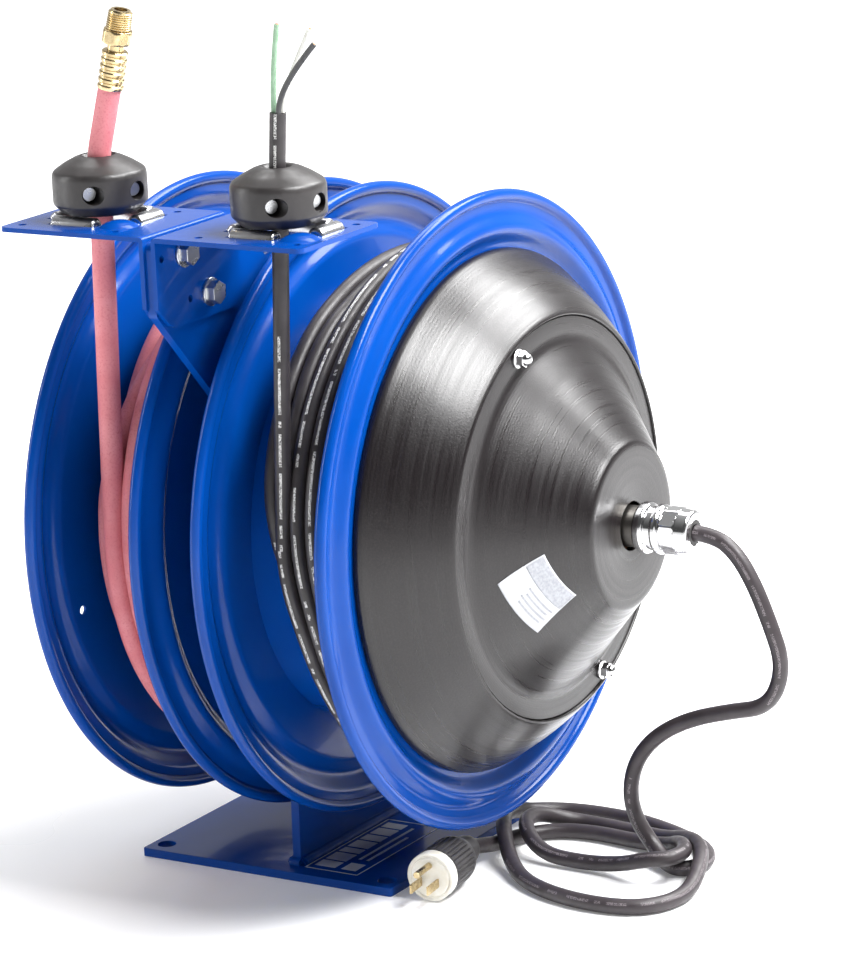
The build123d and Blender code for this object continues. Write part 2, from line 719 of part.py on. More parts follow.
def make_pawl(side):
    """Return the catch that drops into the ratchet rim when the reel is locked."""
    middle = inner_face_x(side) - side * RATCHET_THICKNESS / 2
    pivot_y = PAWL_PIVOT_Y
    pivot_z = PAWL_PIVOT_Z
    outline = [
        (pivot_y - 5.0, pivot_z - 7.0),
        (pivot_y + 2.0, pivot_z - 7.0),
        (pivot_y + 4.0, pivot_z + 9.0),
        (pivot_y + 5.5, pivot_z + 20.0),
        (pivot_y + 2.0, pivot_z + 21.0),
        (pivot_y - 5.0, pivot_z + 10.0),
    ]
    pawl = upright(outline, middle, PAWL_THICKNESS)
    boss_a = (middle - PAWL_THICKNESS / 2, pivot_y, pivot_z)
    boss_b = (middle + PAWL_THICKNESS / 2, pivot_y, pivot_z)
    pawl += rod(boss_a, boss_b, 6.6)
    return pawl - rod(boss_a, boss_b, PAWL_PIN_RADIUS + RUNNING_CLEARANCE)


# ---------------------------------------------------------------- hose and cord ends


def tangent_point(x, wind_radius):
    """Return where a line from the guide touches the winding, at the front of the drum."""
    rise = GUIDE_TOP - AXIS_HEIGHT
    reach = sqrt(GUIDE_Y**2 + rise**2)
    turn = atan2(rise, GUIDE_Y) + (pi / 2 - asin(wind_radius / reach))
    return (x, wind_radius * cos(turn), AXIS_HEIGHT + wind_radius * sin(turn))


def make_run(x, wind_radius, radius):
    """Return the straight stretch from the winding up to the stopper."""
    return rod(tangent_point(x, wind_radius), (x, GUIDE_Y, STOPPER_BOTTOM - 0.6), radius)


def make_stopper(guide_x, radius, facing):
    """Return the two halves of a clamped stopper ball on the hose or cord."""
    size = STOPPER_RADIUS
    low = STOPPER_BOTTOM
    top = STOPPER_TOP
    outline = [
        (0, low),
        (size - 7.0, low),
        (size - 5.0, low + 1.0),
        (size, low + 6.5),
        (size, top - 12.5),
        (size - 1.5, top - 10.0),
        (size - 9.0, top - 4.8),
        (size - 16.0, top - 1.2),
        (size - 20.0, top),
        (0, top),
    ]
    points = [(guide_x + r, GUIDE_Y, z) for r, z in outline]
    centre_line = Axis((guide_x, GUIDE_Y, 0), (0, 0, 1))
    ball = revolve(Face(Wire.make_polygon(points, close=True)), centre_line)
    ball -= rod((guide_x, GUIDE_Y, low - 1), (guide_x, GUIDE_Y, top + 1), radius)
    ball -= Pos(guide_x, GUIDE_Y, top) * Cone(radius, radius + 8.0, 40.0)
    heading = (sin(radians(facing)), -cos(radians(facing)))
    for screw in stopper_screw_lines(guide_x, facing):
        start, seat, nut_seat, end = screw
        ball -= rod(start, end, 2.6)
        ball -= rod(seat, start, 6.4)
        ball -= rod(nut_seat, end, 6.4)
    halves = []
    gap = 0.4
    for sign in (1, -1):
        middle = size + gap
        origin = (
            guide_x + sign * heading[0] * middle,
            GUIDE_Y + sign * heading[1] * middle,
            (low + top) / 2,
        )
        across = Plane(origin=origin, x_dir=(heading[0], heading[1], 0), z_dir=(0, 0, 1))
        halves.append(ball & (across * Box(2 * size, 3 * size, 2 * (top - low))))
    return group(halves)


def stopper_screw_lines(guide_x, facing):
    """Return, for each screw, its outer end, head seat, nut seat and far end."""
    heading = (sin(radians(facing)), -cos(radians(facing)))
    across = (cos(radians(facing)), sin(radians(facing)))
    lines = []
    for offset in (-STOPPER_SCREW_OFFSET, STOPPER_SCREW_OFFSET):
        line = []
        for reach in (32.0, 15.0, -15.0, -32.0):
            x = guide_x + across[0] * offset + heading[0] * reach
            y = GUIDE_Y + across[1] * offset + heading[1] * reach
            line.append((x, y, (STOPPER_BOTTOM + STOPPER_TOP) / 2 - 3.5))
        lines.append(line)
    return lines


def make_stopper_screws(guide_x, facing):
    """Return the two clamp screws and nuts of a stopper."""
    pieces = []
    for start, seat, nut_seat, end in stopper_screw_lines(guide_x, facing):
        out = (Vector(*start) - Vector(*seat)).normalized()
        head_top = tuple(Vector(*seat) + out * 4.6)
        nut_top = tuple(Vector(*nut_seat) - out * 4.2)
        tip = tuple(Vector(*nut_seat) - out * 6.0)
        screw = rod(tip, seat, 2.5) + rod(seat, head_top, 4.6)
        pieces.append(screw)
        pieces.append(hexagon(nut_top, nut_seat, 8.0) - rod(tip, nut_seat, 2.5))
    return group(pieces)


def swept(points, radii, radius):
    """Return a round cord along straight runs joined by tangent arcs."""
    path = FilletPolyline(*points, radius=radii)
    start = path @ 0
    section = Plane(origin=start, z_dir=path % 0) * Circle(radius)
    return sweep(section, path=path)


def leaning(start, height, lean):
    """Return the point this high above a start, leaning to the right."""
    return (start[0] + height * tan(radians(lean)), start[1], start[2] + height)


HOSE_BEND_Z = 512.0
HOSE_LEAN = 13.5
HOSE_TAIL_TOP = 580.0
CORD_LEAN = 3.6
CONDUCTOR_LIFT = 0.6
CORD_TAIL_TOP = 558.0


def hose_tail_points():
    """Return the hose's route through the stopper to its ferrule."""
    low = (HOSE_GUIDE_X, GUIDE_Y, STOPPER_BOTTOM)
    bend = (HOSE_GUIDE_X, GUIDE_Y, HOSE_BEND_Z)
    return [low, bend, leaning(bend, HOSE_TAIL_TOP - HOSE_BEND_Z, HOSE_LEAN)]


def cord_tail_points():
    """Return the cord's route through the stopper to its cut end."""
    low = (CORD_GUIDE_X, GUIDE_Y, STOPPER_BOTTOM)
    bend = (CORD_GUIDE_X, GUIDE_Y, HOSE_BEND_Z)
    return [low, bend, leaning(bend, CORD_TAIL_TOP - HOSE_BEND_Z, CORD_LEAN)]


def make_hose_end_fitting():
    """Return the crimped ferrule and the threaded adapter on the hose's end."""
    top = Vector(*hose_tail_points()[-1])
    lean = Vector(sin(radians(HOSE_LEAN)), 0, cos(radians(HOSE_LEAN)))
    grip = 12.0
    a, b, c, d, e = (tuple(top + lean * s) for s in (-grip, 14.0, 20.0, 28.0, 42.0))
    ferrule = rod(a, b, HOSE_RADIUS + 1.0) - rod(a, tuple(top), HOSE_RADIUS)
    adapter = rod(b, c, 5.6) + hexagon(c, d, 19.0) + rod(d, e, 8.4)
    adapter -= rod(b, tuple(top + lean * 43), 4.0)
    return group([ferrule, adapter])


def make_conductors():
    """Return the three insulated wires at the cord's cut end."""
    top = cord_tail_points()[-1]
    ends = (
        ((-3.0, 0.0), (2.0, -1.0, 30.0), (6.5, -1.0, 58.0)),
        ((1.6, 2.4), (6.5, 3.0, 26.0), (25.0, 2.0, 56.0)),
        ((1.6, -2.4), (10.5, -3.0, 24.0), (35.0, -4.0, 48.0)),
    )
    wires = []
    for foot, knee, tip in ends:
        start = (top[0] + foot[0], top[1] + foot[1], top[2] + CONDUCTOR_LIFT)
        middle = (start[0] + knee[0], start[1] + knee[1], top[2] + knee[2])
        end = (start[0] + tip[0], start[1] + tip[1], top[2] + tip[2])
        wires.append(swept([start, middle, end], 40.0, 2.0))
    return group(wires)


# ---------------------------------------------------------------- cord grip, input cord, plug


def make_cord_grip_body():
    """Return the grip's threaded body with its flange ring and hexagon."""
    a, b, c, d = ((GRIP_X + s, 0, AXIS_HEIGHT) for s in (0, 5.0, 14.0, 18.0))
    body = rod(a, b, 15.4) + hexagon(b, c, 27.0) + rod(c, d, 12.5)
    return body - rod((GRIP_X - 1, 0, AXIS_HEIGHT), (GRIP_X + 19, 0, AXIS_HEIGHT), 8.5)


def make_cord_grip_nut():
    """Return the faceted compression nut."""
    start = GRIP_X + 14.5
    ring = lathe(
        [
            (start, 12.6),
            (start, 15.2),
            (start + 11, 15.2),
            (start + 15, 13.2),
            (start + 20, 12.4),
            (start + 23, 11.0),
            (start + 23, 8.4),
            (start + 4.1, 8.4),
            (start + 4.1, 12.6),
        ]
    )
    plane = Plane(origin=(start - 1, 0, AXIS_HEIGHT), z_dir=(1, 0, 0))
    facets = extrude(plane * RegularPolygon(14.4, 12, major_radius=False), 40, dir=(1, 0, 0))
    return ring & facets


def make_cord_grip_bushing():
    """Return the rubber bushing that the cord leaves through."""
    start = GRIP_X + 20.0
    return tube_x(8.3, CORD_RADIUS + 0.05, start, GRIP_X + GRIP_LENGTH)


def route_radii(route):
    """Return the arc radius at each inner point of the cord's route."""
    points = [Vector(*point) for point in route]
    radii = []
    for before, point, after in zip(points, points[1:], points[2:]):
        first = point - before
        second = after - point
        turn = radians(first.get_angle(second))
        radii.append(ARC_SHARE * min(first.length, second.length) / tan(turn / 2))
    return radii


def make_input_cord():
    """Return the free power cord, from the grip to the plug."""
    radii = route_radii(CORD_ROUTE)
    path = FilletPolyline(*CORD_ROUTE, radius=radii)
    section = Plane(origin=CORD_ROUTE[0], z_dir=path % 0) * Circle(CORD_RADIUS)
    cord = sweep(section, path=path)
    full = pi * CORD_RADIUS**2 * path.length
    print("input cord length", round(path.length, 1), "volume share", round(cord.volume / full, 4))
    print("input cord radii", [round(radius) for radius in radii])
    return cord


def plug_plane():
    """Return the plug's plane: its origin at the cord end, its Z towards the blades."""
    heading = Vector(PLUG_HEADING[0], PLUG_HEADING[1], 0.0).normalized()
    return Plane(origin=Vector(*PLUG_BACK) + heading * PLUG_GAP, z_dir=heading)


PLUG_BODY_LENGTH = 56.0
PLUG_FACE_THICKNESS = 10.0


def make_plug_body():
    """Return the ribbed plug body with its tapered cord end."""
    outline = [
        (0, 5.6),
        (0, 9.0),
        (5, 10.5),
        (16, 11.5),
        (24, 16.5),
        (PLUG_BODY_LENGTH, PLUG_RADIUS),
    ]
    points = [(radius, 0, z) for z, radius in outline] + [(5.6, 0, PLUG_BODY_LENGTH)]
    body = revolve(Face(Wire.make_polygon(points, close=True)), Axis.Z)
    body += Pos(0, 0, PLUG_BODY_LENGTH / 2 + 2) * Cylinder(5.7, PLUG_BODY_LENGTH - 4)
    return plug_plane().location * body


def make_plug_face():
    """Return the light face disc that carries the blades."""
    height = PLUG_BODY_LENGTH + PLUG_FACE_THICKNESS / 2
    face = Pos(0, 0, height) * Cylinder(PLUG_RADIUS, PLUG_FACE_THICKNESS)
    face = fillet(face.edges().group_by(Axis.Z)[-1], 2.0)
    return plug_plane().location * face


def make_plug_blades():
    """Return two flat blades and the round earth pin."""
    seat = PLUG_BODY_LENGTH + PLUG_FACE_THICKNESS
    blades = []
    for across in (-6.35, 6.35):
        blades.append(Pos(across, 3.0, seat + 9.0) * Box(1.5, 6.3, 18.0))
    pin = Pos(0, -8.9, seat + 10.5) * Cylinder(2.4, 21.0)
    blades.append(pin)
    return group(plug_plane().location * blade for blade in blades)


# ---------------------------------------------------------------- all pieces


HOSE_STOPPER_FACING = 58.0
CORD_STOPPER_FACING = 61.0


def main():
    """Write every piece."""
    os.makedirs("parts", exist_ok=True)
    write("base_plate", make_base_plate())
    write("support_post", make_support_post())
    write("hose_guide_bracket", make_guide_bracket(-1, HOSE_GUIDE_X))
    write("cord_guide_bracket", make_guide_bracket(1, CORD_GUIDE_X))
    write("frame_fasteners", make_frame_fasteners())
    write("roller_pins", make_roller_pins())
    for reel, guide_x in (("hose", HOSE_GUIDE_X), ("cord", CORD_GUIDE_X)):
        for place, centre, heading, length in roller_layout(guide_x):
            write(reel + "_roller_" + place, make_roller(centre, heading, length))

    write("hose_axle", make_hose_axle())
    write("cord_axle", make_cord_axle())
    write("air_inlet_fitting", make_air_inlet_fitting())

    reels = (
        ("hose", -1, HOSE_INNER_X, HOSE_OUTER_X, HOSE_BARREL_RADIUS),
        ("cord", 1, CORD_INNER_X, CORD_OUTER_X, CORD_BARREL_RADIUS),
    )
    for reel, side, inner_x, outer_x, barrel_radius in reels:
        inner_flange = drill_flange(make_flange(inner_x, -side), inner_x, barrel_radius)
        outer_flange = drill_flange(make_flange(outer_x, side), outer_x, barrel_radius)
        if reel == "hose":
            near = at_axis(outer_x - 5, PEEP_HOLE_CIRCLE, PEEP_HOLE_AT)
            far = at_axis(outer_x + 5, PEEP_HOLE_CIRCLE, PEEP_HOLE_AT)
            outer_flange -= rod(near, far, PEEP_HOLE_RADIUS)
        write(reel + "_inner_flange", inner_flange)
        write(reel + "_outer_flange", outer_flange)
        start = min(inner_x, outer_x) + SHEET / 2
        end = max(inner_x, outer_x) - SHEET / 2
        barrel = make_barrel(barrel_radius, start, end)
        if reel == "hose":
            inside = at_axis(MANIFOLD_X, barrel_radius - 30)
            outside = at_axis(MANIFOLD_X, barrel_radius + 5)
            barrel -= rod(inside, outside, 9.0)
        write(reel + "_barrel", barrel)
        write(reel + "_hubs", make_hubs(side, inner_x, outer_x))
        write(reel + "_bushings", make_bushings(side, inner_x, outer_x))
        write(reel + "_drum_bolts", make_drum_bolts(side, inner_x, outer_x, barrel_radius))
        write(reel + "_pawl", make_pawl(side))

    write("swivel_manifold", make_swivel_manifold())
    write("hose_spring_case", make_hose_spring_case())
    write("cord_spring_case", make_cord_spring_case())
    write("hose_power_spring", spiral_strip(25.0, HOSE_OUTER_X - 37.0, HOSE_OUTER_X - 12.0))
    write("cord_power_spring", spiral_strip(25.0, CORD_OUTER_X + 13.0, CORD_OUTER_X + 41.0))
    write("slip_ring_rotor", make_slip_ring_rotor())
    write("slip_rings", make_slip_rings())
    write("slip_ring_cover", make_slip_ring_cover())
    write("cover_nuts", make_cover_nuts())
    write("brush_holder", make_brush_holder())

    write(
        "wound_hose",
        make_winding(
            HOSE_OUTER_X + SHEET / 2 + WIND_GAP,
            HOSE_INNER_X - SHEET / 2 - WIND_GAP,
            HOSE_BARREL_RADIUS + 0.3,
            HOSE_WIND_RADIUS + HOSE_RADIUS,
            HOSE_GUIDE_X,
            HOSE_RADIUS + 1.0,
            HOSE_WIND_RADIUS - HOSE_RADIUS - 0.8,
        ),
    )
    write(
        "wound_cord",
        make_winding(
            CORD_INNER_X + SHEET / 2 + WIND_GAP,
            CORD_OUTER_X - SHEET / 2 - WIND_GAP,
            CORD_BARREL_RADIUS + 0.3,
            CORD_WIND_RADIUS + CORD_RADIUS,
            CORD_GUIDE_X,
            CORD_RADIUS + 1.0,
            CORD_WIND_RADIUS - CORD_RADIUS - 0.8,
        ),
    )
    write("hose_run", make_run(HOSE_GUIDE_X, HOSE_WIND_RADIUS, HOSE_RADIUS))
    write("cord_run", make_run(CORD_GUIDE_X, CORD_WIND_RADIUS, CORD_RADIUS))
    write("hose_tail", swept(hose_tail_points(), 60.0, HOSE_RADIUS))
    write("cord_tail", swept(cord_tail_points(), 60.0, CORD_RADIUS))
    write("hose_end_fitting", make_hose_end_fitting())
    write("conductors", make_conductors())
    write("hose_stopper", make_stopper(HOSE_GUIDE_X, HOSE_RADIUS, HOSE_STOPPER_FACING))
    write("cord_stopper", make_stopper(CORD_GUIDE_X, CORD_RADIUS, CORD_STOPPER_FACING))
    write("hose_stopper_screws", make_stopper_screws(HOSE_GUIDE_X, HOSE_STOPPER_FACING))
    write("cord_stopper_screws", make_stopper_screws(CORD_GUIDE_X, CORD_STOPPER_FACING))

    write("cord_grip_body", make_cord_grip_body())
    write("cord_grip_nut", make_cord_grip_nut())
    write("cord_grip_bushing", make_cord_grip_bushing())
    write("input_cord", make_input_cord())
    write("plug_body", make_plug_body())
    write("plug_face", make_plug_face())
    write("plug_blades", make_plug_blades())


main()
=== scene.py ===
"""Looks of the dual hose and cord reel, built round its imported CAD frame. Lengths are metres."""
import math

import bmesh
import bpy
import numpy as np
from mathutils import Matrix, Vector, noise


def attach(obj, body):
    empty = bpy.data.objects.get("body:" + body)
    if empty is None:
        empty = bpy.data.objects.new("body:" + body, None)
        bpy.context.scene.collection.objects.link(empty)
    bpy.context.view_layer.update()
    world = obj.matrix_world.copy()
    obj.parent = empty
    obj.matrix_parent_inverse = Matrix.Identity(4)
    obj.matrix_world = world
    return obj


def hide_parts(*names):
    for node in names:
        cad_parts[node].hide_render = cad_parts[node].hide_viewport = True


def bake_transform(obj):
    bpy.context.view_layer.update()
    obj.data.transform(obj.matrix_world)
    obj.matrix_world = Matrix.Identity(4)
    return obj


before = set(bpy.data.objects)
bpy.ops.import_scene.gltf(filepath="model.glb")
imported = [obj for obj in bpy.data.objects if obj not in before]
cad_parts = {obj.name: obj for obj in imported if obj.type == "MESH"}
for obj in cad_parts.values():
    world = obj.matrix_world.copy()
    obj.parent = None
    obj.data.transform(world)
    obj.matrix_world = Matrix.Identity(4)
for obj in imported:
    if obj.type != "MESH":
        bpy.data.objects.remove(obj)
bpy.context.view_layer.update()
MM = 0.001
X_AXIS = Vector((1, 0, 0))
Y_AXIS = Vector((0, 1, 0))
Z_AXIS = Vector((0, 0, 1))
LARGE_TURN = 288  # segments round a flange or a case
SMALL_TURN = 96  # segments round a fitting
BOX_FACES = [(3, 2, 1, 0), (4, 5, 6, 7), (0, 1, 5, 4), (1, 2, 6, 5), (2, 3, 7, 6), (3, 0, 4, 7)]

# Places shared with the CAD model
AXIS_HEIGHT = 0.255
FLANGE_RADIUS = 0.22225
BEAD_RADIUS = 0.00425
FLANGES = {
    "hose_outer_flange": (-0.095, -1),
    "hose_inner_flange": (-0.00875, 1),
    "cord_inner_flange": (0.0408, -1),
    "cord_outer_flange": (0.138, 1),
}
POST_X = 0.0164
POST_HALF = 0.0032
PLATE_TOP = 0.00635
GUIDE_Y = -0.170
HOSE_GUIDE_X = -0.053
CORD_GUIDE_X = 0.0895
HOSE_RADIUS = 0.00775
CORD_RADIUS = 0.0055
HOSE_START = (HOSE_GUIDE_X, -0.17886, 0.26218)
CORD_START = (CORD_GUIDE_X, -0.18646, 0.26931)
STOPPER_BOTTOM = 0.4852

# Where the seam of the UV map lies on an upright cord, with the print opposite it
SEAM_SIDE = (-0.25, 0.97, 0.0)


# ---------------------------------------------------------------- meshes


def placed(name, data):
    """Add an object that holds a mesh, a curve, a light or a camera to the scene."""
    made = bpy.data.objects.new(name, data)
    bpy.context.scene.collection.objects.link(made)
    return made


def mesh_object(name, verts, faces, material, smooth=True):
    """Make an object from vertices and faces."""
    mesh = bpy.data.meshes.new(name)
    mesh.from_pydata([tuple(v) for v in verts], [], faces)
    mesh.validate()
    mesh.update()
    if smooth:
        mesh.shade_smooth()
    mesh.materials.append(material)
    return placed(name, mesh)


def creases(piece, degrees=32):
    """Keep edges sharper than an angle crisp, and smooth the rest."""
    piece.data.shade_smooth()
    piece.data.set_sharp_from_angle(angle=math.radians(degrees))
    return piece


def rounded(outline, size, closed=True, steps=4):
    """Round the corners of a flat outline with small curves."""
    points = [Vector(p) for p in outline]
    count = len(points)
    result = []
    for index, point in enumerate(points):
        if not closed and index in (0, count - 1):
            result.append(tuple(point))
            continue
        before = points[index - 1]
        after = points[(index + 1) % count]
        reach = min(size, (point - before).length * 0.45, (after - point).length * 0.45)
        start = point + (before - point).normalized() * reach
        end = point + (after - point).normalized() * reach
        for step in range(steps + 1):
            t = step / steps
            result.append(tuple(start * (1 - t) ** 2 + point * 2 * t * (1 - t) + end * t * t))
    return result


def lathe(name, outline, material, segments=192, axis_point=None, directions=None, closed=True):
    """Turn an outline of (along, radius) round a line. The line is the reel axis by default."""
    origin = Vector(axis_point) if axis_point else Vector((0, 0, AXIS_HEIGHT))
    along, across, up = directions or (X_AXIS, Y_AXIS, Z_AXIS)
    verts = []
    for step in range(segments):
        angle = 2 * math.pi * step / segments
        out = across * math.cos(angle) + up * math.sin(angle)
        verts += [origin + along * a + out * r for a, r in outline]
    rows = len(outline)
    faces = []
    for step in range(segments):
        here = step * rows
        there = ((step + 1) % segments) * rows
        for row in range(rows if closed else rows - 1):
            after = (row + 1) % rows
            faces.append((here + row, here + after, there + after, there + row))
    made = mesh_object(name, verts, faces, material)
    bm = bmesh.new()
    bm.from_mesh(made.data)
    bmesh.ops.remove_doubles(bm, verts=bm.verts, dist=1e-6)
    bmesh.ops.recalc_face_normals(bm, faces=bm.faces)
    bm.to_mesh(made.data)
    bm.free()
    return creases(made)


def resampled(points, spacing):
    """Return points evenly spaced along a line of points."""
    line = np.array([tuple(p) for p in points], float)
    steps = np.linalg.norm(np.diff(line, axis=0), axis=1)
    reach = np.concatenate([[0], np.cumsum(steps)])
    count = max(2, int(round(reach[-1] / spacing)) + 1)
    wanted = np.linspace(0, reach[-1], count)
    return np.stack([np.interp(wanted, reach, line[:, k]) for k in range(3)], axis=1)


def tube(name, points, radius, material, sides=24, start_turn=(0.3, -0.8, 0.5), bump=None):
    """Make a round tube along points, with a UV map of (distance along, share round)."""
    line = np.asarray(points, float)
    tangents = np.gradient(line, axis=0)
    tangents /= np.linalg.norm(tangents, axis=1)[:, None]
    side = np.asarray(start_turn, float)
    reach = np.concatenate([[0], np.cumsum(np.linalg.norm(np.diff(line, axis=0), axis=1))])
    verts = []
    for index, (point, tangent) in enumerate(zip(line, tangents)):
        side = side - tangent * side.dot(tangent)
        side /= np.linalg.norm(side)
        other = np.cross(tangent, side)
        size = radius * (1 + (bump(reach[index]) if bump else 0.0))
        for step in range(sides):
            angle = 2 * math.pi * step / sides
            verts.append(point + (side * math.cos(angle) + other * math.sin(angle)) * size)
    faces = []
    places = []
    for index in range(len(line) - 1):
        low, high = reach[index], reach[index + 1]
        for step in range(sides):
            after = (step + 1) % sides
            here = index * sides
            there = here + sides
            faces.append((here + step, here + after, there + after, there + step))
            first, second = step / sides, (step + 1) / sides
            places += [low, first, low, second, high, second, high, first]
    faces.append(tuple(reversed(range(sides))))
    faces.append(tuple(range((len(line) - 1) * sides, len(line) * sides)))
    places += [0.0] * (4 * sides)
    mesh = bpy.data.meshes.new(name)
    mesh.from_pydata([tuple(v) for v in verts], [], faces)
    mesh.update()
    mesh.materials.append(material)
    mesh.uv_layers.new(name="along").data.foreach_set("uv", places)
    return creases(placed(name, mesh), 50)


def softened(node, width, material):
    """Stand in for a CAD node with the same shape, its sharp edges slightly rounded."""
    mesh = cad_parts[node].data.copy()
    made = placed(node + "_finish", mesh)
    mesh.materials.clear()
    mesh.materials.append(material)
    bm = bmesh.new()
    bm.from_mesh(mesh)
    bmesh.ops.remove_doubles(bm, verts=bm.verts, dist=2e-6)
    bmesh.ops.dissolve_limit(bm, angle_limit=math.radians(0.6), verts=bm.verts, edges=bm.edges)
    limit = math.radians(30)
    sharp = [e for e in bm.edges if len(e.link_faces) == 2 and e.calc_face_angle(0) > limit]
    bmesh.ops.bevel(
        bm, geom=sharp, offset=width, offset_type="OFFSET", segments=2, profile=0.5,
        affect="EDGES", clamp_overlap=True,
    )
    bm.to_mesh(mesh)
    bm.free()
    creases(made, 40)
    weighted = made.modifiers.new("normals", "WEIGHTED_NORMAL")
    weighted.keep_sharp = True
    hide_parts(node)
    return made


def belongs(piece, body, slot, *nodes):
    """Tie a piece to its body and hide the CAD nodes that it stands for. The slot is not used."""
    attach(piece, body)
    if nodes:
        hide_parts(*nodes)
    return piece


def faceted(piece, origin, directions, count, flat, first, last):
    """Press flats into a turned piece, from first to last along its axis."""
    along, across, up = directions
    for vertex in piece.data.vertices:
        offset = vertex.co - origin
        reach = offset.dot(along)
        if not first < reach < last:
            continue
        out = offset - along * reach
        angle = math.atan2(out.dot(up), out.dot(across))
        sector = (angle + math.pi / count) % (2 * math.pi / count) - math.pi / count
        limit = flat / math.cos(sector)
        if out.length > limit:
            vertex.co = origin + along * reach + out.normalized() * limit


def turned(name, outline, body, slot, node, segments=LARGE_TURN):
    """Turn an outline round the reel axis, as the look of a CAD node."""
    return belongs(lathe(name, outline, FINISH[slot], segments), body, slot, node)


def strand(name, line, radius, body, slot, node, **more):
    """Make a tube along a line, as the look of a CAD node."""
    return belongs(tube(name, line, radius, FINISH[slot], **more), body, slot, node)


def cut(piece, cutter):
    """Subtract one mesh from another, and remove the cutter."""
    modifier = piece.modifiers.new("cut", "BOOLEAN")
    modifier.operation = "DIFFERENCE"
    modifier.solver = "EXACT"
    modifier.object = cutter
    graph = bpy.context.evaluated_depsgraph_get()
    mesh = bpy.data.meshes.new_from_object(piece.evaluated_get(graph))
    piece.modifiers.clear()
    piece.data = mesh
    bpy.data.objects.remove(cutter)
    return piece


def bar(name, start, end, radius, material, sides=40):
    """Make a plain round bar, used for cutting and for pins."""
    return tube(name, [start, end], radius, material, sides=sides)


# ---------------------------------------------------------------- materials


# The print on the cords: marks in words, words in lines, and the share of each left blank
MARKS_PER_METRE = 2100.0
MARKS_ROUND = 90.0
MARK_GAPS = 0.42
WORDS_PER_METRE = 230.0
WORD_GAPS = 0.22
LINES_PER_METRE = 7.0
LINE_GAPS = 0.4
PRINT_HALF_WIDTH = 0.0285


def map_range(tree, value, low, high, out_low, out_high):
    """Map a node's value from one range to another."""
    made = tree.nodes.new("ShaderNodeMapRange")
    sockets = ("From Min", "From Max", "To Min", "To Max")
    for socket, number in zip(sockets, (low, high, out_low, out_high)):
        made.inputs[socket].default_value = number
    tree.links.new(value, made.inputs["Value"])
    return made.outputs["Result"]


